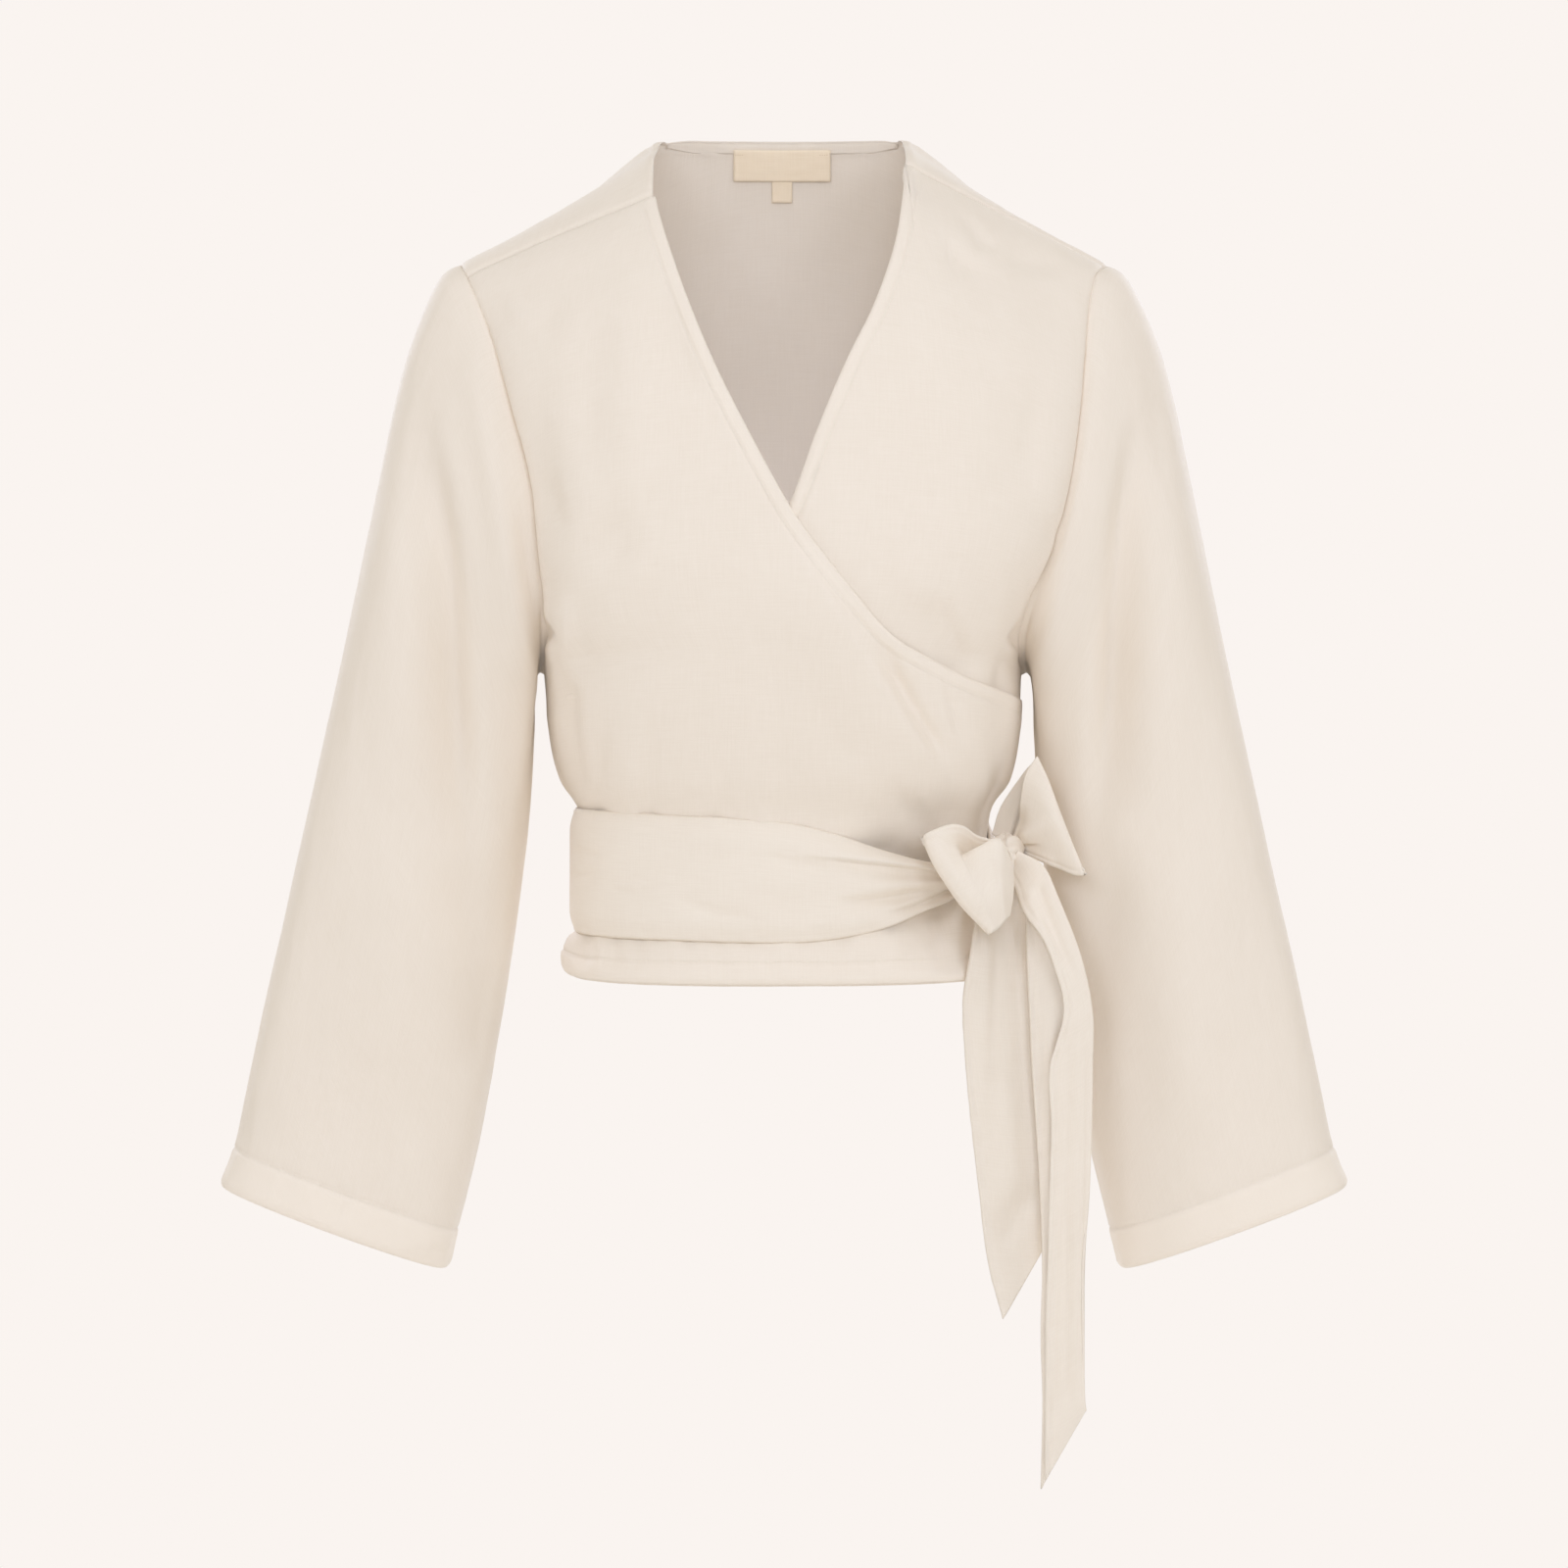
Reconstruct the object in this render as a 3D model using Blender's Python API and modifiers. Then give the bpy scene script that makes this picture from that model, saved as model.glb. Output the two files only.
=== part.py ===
"""A cropped wrap top in light plain-woven cloth, held in its worn shape with no wearer.

It is built as it is sewn: a back, two fronts that cross over each other, two wide sleeves,
a narrow facing round the back of the neck, a label with a size tab, and one long waist tie
that is wound round the waist and tied in a bow at the wearer's left hip.

Metres, +Z up. The origin is midway between the two points where the shoulders meet the neck.
The front faces -Y, and the wearer's right is at -X. Every cloth piece is an open surface that
a Solidify modifier turns into a wall, half of it on each side of the surface.
"""

import math

import bpy
import numpy as np

# Driving dimensions
WALL = 0.0012  # cloth wall
TRIM_WALL = 0.0010  # facing, label and size tab
FRONT_STEP = 0.0030  # from the under front out to the over front, where they cross
TIE_LIFT = 0.0056  # from the torso's surface out to the waist tie
TRIM_LIFT = 0.0026  # from the back's surface in to the first layer of trim at the neck
GAP = 0.0003  # between two pieces
SEAM_V = 0.0010  # how far a front stops short of the shoulder seam, as a share of v

CREAM = (0.86, 0.80, 0.70, 1.0)
CREAM_LIGHT = (0.90, 0.85, 0.76, 1.0)
LABEL_TAN = (0.83, 0.69, 0.52, 1.0)


def table(columns, *rows):
    """A table as {column name: array}."""
    return {name: np.array([row[i] for row in rows], float) for i, name in enumerate(columns.split())}


# The torso below the underarm, from the hem (v 0) to the underarm (v 1). Each level is a ring: its
# side seams are at x_right and x_left, and it passes the middle of the front and of the back.
LOWER = table(
    "v     z_side  y_side x_right x_left  front_y front_z front_n  back_y  back_z back_n",
    (0.00, -0.494, 0.000, 0.1340, 0.1340, -0.108, -0.499, 2.4, 0.094, -0.495, 2.3),
    (0.14, -0.470, 0.000, 0.1250, 0.1250, -0.100, -0.472, 2.3, 0.084, -0.470, 2.2),
    (0.34, -0.434, 0.000, 0.1225, 0.1225, -0.096, -0.436, 2.2, 0.078, -0.434, 2.2),
    (0.54, -0.398, 0.000, 0.1250, 0.1250, -0.099, -0.400, 2.3, 0.080, -0.398, 2.2),
    (0.64, -0.379, 0.001, 0.1370, 0.1370, -0.108, -0.379, 2.4, 0.088, -0.378, 2.2),
    (0.82, -0.348, 0.002, 0.1440, 0.1430, -0.117, -0.343, 2.5, 0.096, -0.344, 2.3),
    (1.00, -0.315, 0.004, 0.1460, 0.1450, -0.122, -0.302, 2.5, 0.100, -0.302, 2.3),
)

# The torso above the underarm. q runs from the underarm up the front, over the shoulder's ridge
# at 0.5 and down the back to the underarm again. side_y, side_z, x_right and x_left are the
# armhole, and mid_y, mid_z the middle of the same row, part of which the neck opening cuts away.
UPPER = table(
    "q     side_y  side_z  x_right x_left  mid_y   mid_z  n",
    (0.00, 0.004, -0.315, 0.1460, 0.1450, -0.122, -0.302, 2.5),
    (0.07, -0.036, -0.299, 0.1420, 0.1410, -0.124, -0.282, 2.5),
    (0.13, -0.057, -0.273, 0.1400, 0.1430, -0.124, -0.255, 2.5),
    (0.19, -0.063, -0.240, 0.1435, 0.1570, -0.119, -0.218, 2.4),
    (0.26, -0.062, -0.200, 0.1490, 0.1680, -0.109, -0.168, 2.1),
    (0.33, -0.053, -0.157, 0.1610, 0.1750, -0.096, -0.113, 1.8),
    (0.40, -0.037, -0.113, 0.1750, 0.1810, -0.076, -0.058, 1.4),
    (0.46, -0.016, -0.073, 0.1930, 0.1890, -0.046, -0.001, 1.08),
    (0.50, 0.008, -0.0635, 0.1980, 0.1980, -0.003, 0.046, 1.0),
    (0.55, 0.032, -0.078, 0.1880, 0.1880, 0.036, 0.057, 1.15),
    (0.61, 0.054, -0.106, 0.1740, 0.1740, 0.0565, 0.050, 1.5),
    (0.70, 0.071, -0.153, 0.1610, 0.1610, 0.083, -0.040, 2.1),
    (0.79, 0.077, -0.204, 0.1530, 0.1530, 0.096, -0.117, 2.3),
    (0.88, 0.068, -0.257, 0.1480, 0.1480, 0.102, -0.190, 2.3),
    (0.94, 0.045, -0.296, 0.1465, 0.1460, 0.102, -0.245, 2.3),
    (1.00, 0.004, -0.315, 0.1460, 0.1450, 0.100, -0.302, 2.3),
)
SEAM_Q = {-1: 0.462, 1: 0.490}  # the shoulder seams, forward of the ridge, by side
RIDGE_V = 1.92  # the ridge in the back's v, where 1 is the underarm and 2 the shoulder seam
TIE_V = 0.64  # just above the waist tie, where both fronts begin to follow their top edges

# The neckline and wrap edge of each front, from the shoulder seam down to the opposite side seam.
OVER_EDGE = table(
    "z      x",
    (-0.345, 0.180),
    (-0.331, 0.146),
    (-0.319, 0.111),
    (-0.306, 0.084),
    (-0.294, 0.064),
    (-0.274, 0.0455),
    (-0.238, 0.0170),
    (-0.2165, 0.0025),
    (-0.171, -0.0220),
    (-0.1335, -0.0405),
    (-0.095, -0.0565),
    (-0.065, -0.0670),
    (-0.0375, -0.0755),
    (-0.018, -0.0795),
    (0.010, -0.0810),
)
UNDER_EDGE = table(
    "z      x",
    (-0.345, -0.180),
    (-0.331, -0.146),
    (-0.318, -0.106),
    (-0.305, -0.080),
    (-0.294, -0.059),
    (-0.274, -0.040),
    (-0.238, -0.011),
    (-0.2165, 0.0030),
    (-0.171, 0.0200),
    (-0.128, 0.0380),
    (-0.095, 0.0540),
    (-0.057, 0.0670),
    (-0.0236, 0.0730),
    (0.000, 0.0750),
    (0.020, 0.0755),
)
# The neck opening in the back: its height in the middle, and its half width at each q by side.
BACK_NECK_Z = 0.021
BACK_NECK = table(
    "q     x_right x_left",
    (0.462, 0.0800, 0.0750),
    (0.500, 0.0805, 0.0752),
    (0.550, 0.0790, 0.0745),
    (0.580, 0.0770, 0.0735),
    (0.610, 0.0735, 0.0710),
)
# What is sewn inside the back of the neck, and how far each piece starts below the neck's edge.
FACING = {"width": 0.1400, "height": 0.0070, "drop": 0.0004}
LABEL = {"width": 0.0610, "height": 0.0190, "drop": 0.0050}
SIZE_TAB = {"width": 0.0128, "height": 0.0270, "drop": 0.0100}

# A sleeve's rings, from the armhole to the hem: the two ends of each ring as seen from the front,
# how deep it is in front of and behind its middle, and how much of the armhole's shape it keeps.
SLEEVE = table(
    "outer_x outer_z inner_x inner_z mid_y   front  back   keep",
    (0.1960, -0.0660, 0.1460, -0.3150, 0.002, 0.066, 0.074, 1.00),
    (0.2100, -0.0760, 0.1495, -0.3125, 0.002, 0.067, 0.074, 0.93),
    (0.2275, -0.1120, 0.1515, -0.3155, 0.001, 0.067, 0.072, 0.68),
    (0.2385, -0.1500, 0.1520, -0.3185, 0.000, 0.066, 0.070, 0.44),
    (0.2490, -0.2010, 0.1525, -0.3230, -0.001, 0.064, 0.067, 0.22),
    (0.2610, -0.2610, 0.1530, -0.3320, -0.002, 0.060, 0.063, 0.08),
    (0.2730, -0.3210, 0.1535, -0.3530, -0.003, 0.057, 0.059, 0.00),
    (0.2865, -0.3810, 0.1565, -0.4040, -0.004, 0.054, 0.055, 0.00),
    (0.2995, -0.4410, 0.1635, -0.4620, -0.006, 0.052, 0.052, 0.00),
    (0.3130, -0.5010, 0.1730, -0.5250, -0.008, 0.050, 0.050, 0.00),
    (0.3250, -0.5580, 0.1850, -0.5930, -0.010, 0.048, 0.048, 0.00),
    (0.3340, -0.6005, 0.1985, -0.6500, -0.012, 0.047, 0.046, 0.00),
    (0.3430, -0.6240, 0.2045, -0.6750, -0.013, 0.047, 0.046, 0.00),
)

# The waist tie, wound from the knot across the front, round the wearer's right side and the back,
# and home to the knot. turn is in degrees: 0 the middle of the front, 90 the right side seam.
TIE_RUN = table(
    "turn   top     bottom",
    (-66.0, -0.4260, -0.4380),
    (-58.0, -0.4290, -0.4440),
    (-50.0, -0.4295, -0.4500),
    (-40.0, -0.4275, -0.4560),
    (-27.0, -0.4205, -0.4660),
    (-13.0, -0.4105, -0.4720),
    (0.0, -0.4045, -0.4740),
    (35.0, -0.4000, -0.4725),
    (90.0, -0.3970, -0.4700),
    (180.0, -0.3980, -0.4710),
    (250.0, -0.4000, -0.4700),
    (268.0, -0.4090, -0.4640),
    (286.0, -0.4230, -0.4400),
)

# The bow, at the wearer's left side: a knot, and strips of the tie in rows from the knot outwards.
# a and b are a strip's two edges, and f is the fold between them in the long end.
KNOT = (0.1375, -0.0340, -0.4310)
KNOT_SIZE = (0.0085, 0.0100, 0.0140)
LOOP_FRONT = table(
    "ax     ay      az       bx      by      bz",
    (0.1340, -0.0510, -0.4190, 0.1380, -0.0510, -0.4310),
    (0.1240, -0.0720, -0.4150, 0.1365, -0.0690, -0.4430),
    (0.1110, -0.0880, -0.4080, 0.1345, -0.0830, -0.4570),
    (0.0945, -0.1030, -0.4060, 0.1275, -0.0970, -0.4660),
    (0.0820, -0.1010, -0.4125, 0.1215, -0.0990, -0.4695),
    (0.0910, -0.0930, -0.4165, 0.1205, -0.0900, -0.4625),
    (0.1070, -0.0800, -0.4200, 0.1255, -0.0770, -0.4510),
    (0.1210, -0.0650, -0.4220, 0.1305, -0.0620, -0.4420),
    (0.1300, -0.0500, -0.4240, 0.1335, -0.0480, -0.4330),
)
LOOP_BACK = table(
    "ax     ay      az       bx      by      bz",
    (0.1380, -0.0490, -0.4150, 0.1440, -0.0470, -0.4250),
    (0.1300, -0.0540, -0.4020, 0.1525, -0.0500, -0.4320),
    (0.1390, -0.0610, -0.3830, 0.1655, -0.0610, -0.4350),
    (0.1510, -0.0640, -0.3650, 0.1795, -0.0680, -0.4350),
    (0.1450, -0.0555, -0.3745, 0.1720, -0.0560, -0.4325),
    (0.1390, -0.0475, -0.3890, 0.1590, -0.0465, -0.4270),
    (0.1390, -0.0400, -0.4080, 0.1480, -0.0400, -0.4210),
)
TAIL_SHORT = table(
    "ax     ay      az       bx      by      bz",
    (0.1250, -0.0480, -0.4440, 0.1390, -0.0420, -0.4470),
    (0.1150, -0.0650, -0.4630, 0.1440, -0.0520, -0.4630),
    (0.1110, -0.0750, -0.4840, 0.1500, -0.0590, -0.4840),
    (0.1070, -0.0800, -0.5100, 0.1560, -0.0630, -0.5100),
    (0.1080, -0.0790, -0.5400, 0.1620, -0.0640, -0.5400),
    (0.1115, -0.0770, -0.5800, 0.1680, -0.0640, -0.5750),
    (0.1160, -0.0750, -0.6190, 0.1710, -0.0640, -0.6000),
    (0.1220, -0.0730, -0.6660, 0.1730, -0.0640, -0.6150),
    (0.1310, -0.0720, -0.7010, 0.1735, -0.0640, -0.6280),
)
TAIL_LONG = table(
    "ax     ay      az       fx      fy      fz       bx      by      bz",
    (0.1420, -0.0600, -0.4430, 0.1500, -0.0600, -0.4300, 0.1480, -0.0500, -0.4410),
    (0.1430, -0.0740, -0.4570, 0.1630, -0.0690, -0.4475, 0.1460, -0.0620, -0.4600),
    (0.1570, -0.0830, -0.4800, 0.1765, -0.0780, -0.4840, 0.1450, -0.0710, -0.4840),
    (0.1670, -0.0840, -0.5150, 0.1830, -0.0790, -0.5180, 0.1465, -0.0740, -0.5180),
    (0.1580, -0.0830, -0.5500, 0.1835, -0.0785, -0.5500, 0.1480, -0.0745, -0.5500),
    (0.1590, -0.0820, -0.5850, 0.1830, -0.0780, -0.5850, 0.1505, -0.0740, -0.5850),
    (0.1580, -0.0810, -0.6270, 0.1815, -0.0775, -0.6270, 0.1530, -0.0740, -0.6270),
    (0.1570, -0.0800, -0.6680, 0.1785, -0.0770, -0.6680, 0.1545, -0.0740, -0.6680),
    (0.1560, -0.0800, -0.7080, 0.1785, -0.0770, -0.7080, 0.1535, -0.0740, -0.7080),
    (0.1560, -0.0800, -0.7450, 0.1790, -0.0770, -0.7450, 0.1545, -0.0740, -0.7500),
    (0.1560, -0.0800, -0.7960, 0.1800, -0.0770, -0.7550, 0.1535, -0.0740, -0.8020),
)


def read(columns, key, value):
    """Every column of a table at one value of its key column, by a smooth curve through the rows."""
    at = columns[key]
    value = min(max(value, min(at[0], at[-1])), max(at[0], at[-1]))
    i = int(np.clip(np.searchsorted(at, value) - 1, 0, len(at) - 2))
    step = at[i + 1] - at[i]
    t = (value - at[i]) / step
    beside = [(max(j - 1, 0), min(j + 1, len(at) - 1)) for j in (i, i + 1)]
    found = {}
    for name, col in columns.items():
        leave, arrive = ((col[high] - col[low]) / (at[high] - at[low]) for low, high in beside)
        found[name] = (
            (2 * t**3 - 3 * t**2 + 1) * col[i]
            + (t**3 - 2 * t**2 + t) * step * leave
            + (3 * t**2 - 2 * t**3) * col[i + 1]
            + (t**3 - t**2) * step * arrive
        )
    return found


def unit_arc(s, power):
    """(across, forward) on a quarter curve from (0, 1) at s 0 to (1, 0) at s 1, as a superellipse.

    A power of 1 is a straight line, 2 a circle, and more is squarer."""
    angle = abs(s) * math.pi / 2
    across, forward = math.sin(angle), max(math.cos(angle), 0.0)
    size = (across**power + forward**power) ** (-1 / power)
    return math.copysign(across * size, s), forward * size


def torso_q(face, v, side):
    """q at v, for v from 1 at the underarm to 2 at the shoulder seam of one side."""
    if face == "front":
        climb = v - 1
        return SEAM_Q[-1] * climb + (SEAM_Q[side] - SEAM_Q[-1]) * climb**4
    if v <= RIDGE_V:
        return 1 - 0.5 * (v - 1) / (RIDGE_V - 1)
    return 0.5 - (0.5 - SEAM_Q[side]) * (v - RIDGE_V) / (2 - RIDGE_V)


def torso_row(face, v, side):
    """(half width, side y, side z, middle y, middle z, power) of the row at v, on one side."""
    width = "x_right" if side < 0 else "x_left"
    if v <= 1:
        row = read(LOWER, "v", v)
        middle = row[face + "_y"], row[face + "_z"], row[face + "_n"]
        return (row[width], row["y_side"], row["z_side"], *middle)
    row = read(UPPER, "q", torso_q(face, v, side))
    return row[width], row["side_y"], row["side_z"], row["mid_y"], row["mid_z"], row["n"]


def torso(face, s, v):
    """A point of the torso. s runs from -1 at the wearer's right seam to 1 at the left one."""
    half, side_y, side_z, mid_y, mid_z, power = torso_row(face, v, -1 if s < 0 else 1)
    across, forward = unit_arc(s, power)
    y = side_y + (mid_y - side_y) * forward
    z = side_z + (mid_z - side_z) * forward
    return np.array((half * across, y, z))


def seam_s(face, v, side):
    """The s that lies half a gap short of the side seam or armhole on one side."""
    step = 0.02
    speed = np.linalg.norm(torso(face, side, v) - torso(face, side * (1 - step), v)) / step
    return side * (1 - GAP / 2 / speed)


def outward(surface, s, v):
    """The unit normal of a surface, away from the body."""
    step = 1e-3
    low, high = max(v - step, 0), min(v + step, 2)
    along = surface(s + step, v) - surface(s - step, v)
    up = surface(s, high) - surface(s, low)
    normal = np.cross(along, up)
    return normal / np.linalg.norm(normal)


def panel_point(face, s, v, lift):
    """A point of the torso moved out by lift."""
    point = torso(face, s, v)
    normal = outward(lambda a, b: torso(face, a, b), s, v)
    return point + normal * (lift if face == "front" else -lift)


def crossing(past, low, high):
    """Where past turns from false to true between low and high, or the nearer end of the two."""
    if past(low):
        return low
    if not past(high):
        return high
    for _ in range(36):
        middle = (low + high) / 2
        low, high = (low, middle) if past(middle) else (middle, high)
    return (low + high) / 2


def spaced(first, last, count):
    return [first + (last - first) * i / (count - 1) for i in range(count)]


# The rows and columns of the cloth. A front's column climbs from TIE_V to its top edge in the
# shares in CLIMB. The armholes' rows are also the corners of the sleeves' rings.
LOWER_V = [0.0, 0.07, 0.14, 0.24, 0.34, 0.44, 0.54, 0.59]
ARMHOLE_V = spaced(1.0, 2.0, 10)
CORNER_V = 1 + (1 - BACK_NECK["q"][-1]) * 2 * (RIDGE_V - 1)
BACK_ARMHOLE_V = [1.07, 1.16, 1.27, 1.38, 1.48, 1.56, 1.62, 1.67, CORNER_V, 1.77, 1.83, 1.88, RIDGE_V, 1.96]
CLIMB = [(v - TIE_V) / (2 - TIE_V) for v in spaced(TIE_V, 1.0, 4)[:-1] + ARMHOLE_V]
SHOULDER_COLUMNS = 7
EDGE_COLUMNS = 12
GARMENT = "wrap_top"


def material(name, colour, roughness):
    made = bpy.data.materials.new(name)
    made.use_nodes = True
    shader = made.node_tree.nodes["Principled BSDF"]
    shader.inputs["Base Color"].default_value = colour
    shader.inputs["Roughness"].default_value = roughness
    shader.inputs["Metallic"].default_value = 0.0
    return made


def cloth(name, rows, wall, finish, closed=False):
    """A cloth wall over rows of points. None is a place with no cloth, and closed joins row ends."""
    index, points = {}, []
    for i, row in enumerate(rows):
        for j, point in enumerate(row):
            if point is not None:
                index[i, j] = len(points)
                points.append(tuple(point))
    faces = []
    columns = len(rows[0])
    for i in range(len(rows) - 1):
        for j in range(columns if closed else columns - 1):
            k = (j + 1) % columns
            corners = [(i, j), (i, k), (i + 1, k), (i + 1, j)]
            if all(c in index for c in corners):
                faces.append([index[c] for c in corners])
    mesh = bpy.data.meshes.new(name)
    mesh.from_pydata(points, [], faces)
    mesh.shade_smooth()
    made = bpy.data.objects.new(name, mesh)
    bpy.data.collections[GARMENT].objects.link(made)
    made.data.materials.append(finish)
    solid = made.modifiers.new("wall", "SOLIDIFY")
    solid.thickness = wall
    solid.offset = 0
    solid.use_even_offset = True
    return made


def front_panel(name, side, edge, finish):
    """A front. Its columns rise from the hem, first to the shoulder seam and then to the wrap edge.

    side is -1 for the wearer's right. The columns lean, so the top row runs along both edges."""
    def beyond_edge(s, v):
        x, _, z = torso("front", s, v)
        return side * (read(edge, "z", z)["x"] - x) > 0

    seam_length = crossing(lambda d: beyond_edge(side * (1 - d), 2 - SEAM_V), 0, 2)
    shoulder_end = side * (1 - seam_length)
    along_edge = [t**1.5 for t in spaced(0, 1, EDGE_COLUMNS + 1)][1:]
    tops = spaced(side, shoulder_end, SHOULDER_COLUMNS)
    tops += [shoulder_end + (-side - shoulder_end) * t for t in along_edge]
    columns = []
    for top, foot in zip(tops, spaced(side, -side, len(tops))):
        end = crossing(lambda v: beyond_edge(top, v), TIE_V, 2 - SEAM_V)
        column = [(foot, v) for v in LOWER_V]
        column += [(foot + (top - foot) * g, TIE_V + (end - TIE_V) * g) for g in CLIMB]
        columns.append(column)
    rows = []
    for row in zip(*columns):
        points = []
        for s, v in row:
            near = 1 if s > 0 else -1
            if abs(s) > 0.9999:
                s = seam_s("front", v, near)
            far_share = (1 - side * s) / 2  # 0 at its own seam, 1 at the far one
            points.append(panel_point("front", s, v, -side * far_share * FRONT_STEP))
        rows.append(points[::-side])
    return cloth(name, rows, WALL, finish)


def back_panel(finish):
    """The back, up to the back of the neck and over the shoulders to the shoulder seams."""
    def neck_s(v, side):
        half = read(BACK_NECK, "q", torso_q("back", v, side))["x_right" if side < 0 else "x_left"]
        return side * crossing(lambda s: abs(torso("back", side * s, v)[0]) > half, 0, 1)

    def neck_v(s):
        return crossing(lambda v: torso("back", s, v)[2] > BACK_NECK_Z, 1.5, CORNER_V)

    corners = {side: neck_s(CORNER_V, side) for side in (-1, 1)}
    middle = spaced(corners[-1], corners[1], 11)[1:-1]
    rows = []
    for v in LOWER_V + spaced(TIE_V, 1.0, 4) + BACK_ARMHOLE_V + [2 - SEAM_V]:
        over = v > CORNER_V
        ends = {side: neck_s(v, side) if over else corners[side] for side in (-1, 1)}
        row = [torso("back", s, v) for s in spaced(seam_s("back", v, -1), ends[-1], 6)]
        if over:
            row += [None] * len(middle)
        else:
            climb = max(v - 1, 0) / (CORNER_V - 1)
            row += [torso("back", s, min(v, 1) + (neck_v(s) - 1) * climb) for s in middle]
        row += [torso("back", s, v) for s in spaced(ends[1], seam_s("back", v, 1), 6)]
        rows.append(row[::-1])
    return cloth("back", rows, WALL, finish)


def sleeve_ring(index, angles, armhole, side):
    """One ring of a sleeve, as points at the armhole's angles."""
    ring = {name: SLEEVE[name][index] for name in SLEEVE}
    first = {name: SLEEVE[name][0] for name in SLEEVE}

    def oval(sizes, angle):
        along = (1 - math.cos(angle)) / 2
        deep = -sizes["front"] if angle > 0 else sizes["back"]
        return np.array((
            side * (sizes["outer_x"] + (sizes["inner_x"] - sizes["outer_x"]) * along),
            sizes["mid_y"] + deep * abs(math.sin(angle)),
            sizes["outer_z"] + (sizes["inner_z"] - sizes["outer_z"]) * along,
        ))

    return [oval(ring, a) + ring["keep"] * (hole - oval(first, a)) for a, hole in zip(angles, armhole)]


def seam_start(point, along, panel):
    """How far along a sleeve's own direction its wall clears the wall of the panel it is sewn to."""
    along, panel = along / np.linalg.norm(along), panel / np.linalg.norm(panel)
    cosine = float(np.clip(along @ panel, -0.94, 0.6))
    return point + along * (WALL / 2 * (1 + cosine) + GAP) / math.sqrt(1 - cosine**2)


def sleeve(name, side, finish):
    """A sleeve, from its armhole to its hem. side is -1 for the wearer's right."""
    front = [("front", v) for v in ARMHOLE_V]
    back = [("back", v) for v in BACK_ARMHOLE_V[::-1]]
    angles = [math.pi * (2 - v) for v in ARMHOLE_V] + [-math.pi * (2 - v) for _, v in back]
    armhole = [torso(face, side, v) for face, v in front + back]
    inside = [torso(face, side * 0.93, v) for face, v in front + back]
    rings = [sleeve_ring(i, angles, armhole, side) for i in range(len(SLEEVE["keep"]))]
    rings[0] = [seam_start(a, b - a, c - a) for a, b, c in zip(rings[0], rings[1], inside)]
    if side > 0:
        rings = [ring[::-1] for ring in rings]
    return cloth(name, rings, WALL, finish, closed=True)


def tie_point(turn, z):
    """A point of the waist tie: turn in degrees round the waist, at height z."""
    turn = (turn + 180) % 360 - 180
    face = "front" if abs(turn) <= 90 else "back"
    s = -turn / 90 if face == "front" else -math.copysign(2 - abs(turn) / 90, turn)
    v = float(np.interp(z, LOWER["z_side"], LOWER["v"]))
    point = panel_point(face, s, v, TIE_LIFT)
    point[2] = z
    return point


def waist_tie(finish):
    rows = []
    for turn in spaced(TIE_RUN["turn"][0], TIE_RUN["turn"][-1], 43):
        at = read(TIE_RUN, "turn", turn)
        rows.append([tie_point(turn, z) for z in spaced(at["bottom"], at["top"], 4)])
    return cloth("waist_tie", rows, WALL, finish)


def strip(name, edges, finish):
    """A strip of the tie between its edges a and b, or folded along f between them."""
    count = len(edges["ax"])
    made = []
    edges = {"row": np.arange(count, dtype=float), **edges}
    for r in spaced(0.0, count - 1.0, 2 * count - 1):
        at = read(edges, "row", r)
        a, b = (np.array([at[e + axis] for axis in "xyz"]) for e in "ab")
        if "fx" in edges:
            fold = np.array([at["f" + axis] for axis in "xyz"])
            made.append([a, (a + 2 * fold) / 3, fold, (b + 2 * fold) / 3, b])
        else:
            made.append([a + (b - a) * t for t in spaced(0, 1, 5)])
    return cloth(name, made, WALL, finish)


def back_neck_trim(name, width, drop, height, layer, columns, finish):
    """A strip inside the back, hanging drop below the edge of the neck. layer counts inwards."""
    lift = -(TRIM_LIFT + (layer - 1) * (TRIM_WALL + GAP))

    def point(x, z):
        v = 1.6
        for _ in range(4):
            s = crossing(lambda s: torso("back", s, v)[0] > x, -1, 1)
            v = crossing(lambda v: torso("back", s, v)[2] > z, 1.2, CORNER_V)
        return panel_point("back", s, v, lift)

    middle = (BACK_NECK["x_left"][-1] - BACK_NECK["x_right"][-1]) / 2
    across = spaced(middle - width / 2, middle + width / 2, columns)
    top = BACK_NECK_Z - drop
    rows = [[point(x, z) for x in across] for z in spaced(top - height, top, 3)]
    return cloth(name, rows, TRIM_WALL, finish)


def knot(finish):
    bpy.ops.mesh.primitive_uv_sphere_add(segments=12, ring_count=8, location=KNOT)
    made = bpy.context.active_object
    made.name = made.data.name = "bow_knot"
    made.scale = KNOT_SIZE
    bpy.ops.object.transform_apply(location=False, rotation=False, scale=True)
    for collection in made.users_collection:
        collection.objects.unlink(made)
    bpy.data.collections[GARMENT].objects.link(made)
    made.data.materials.append(finish)
    return made


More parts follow.
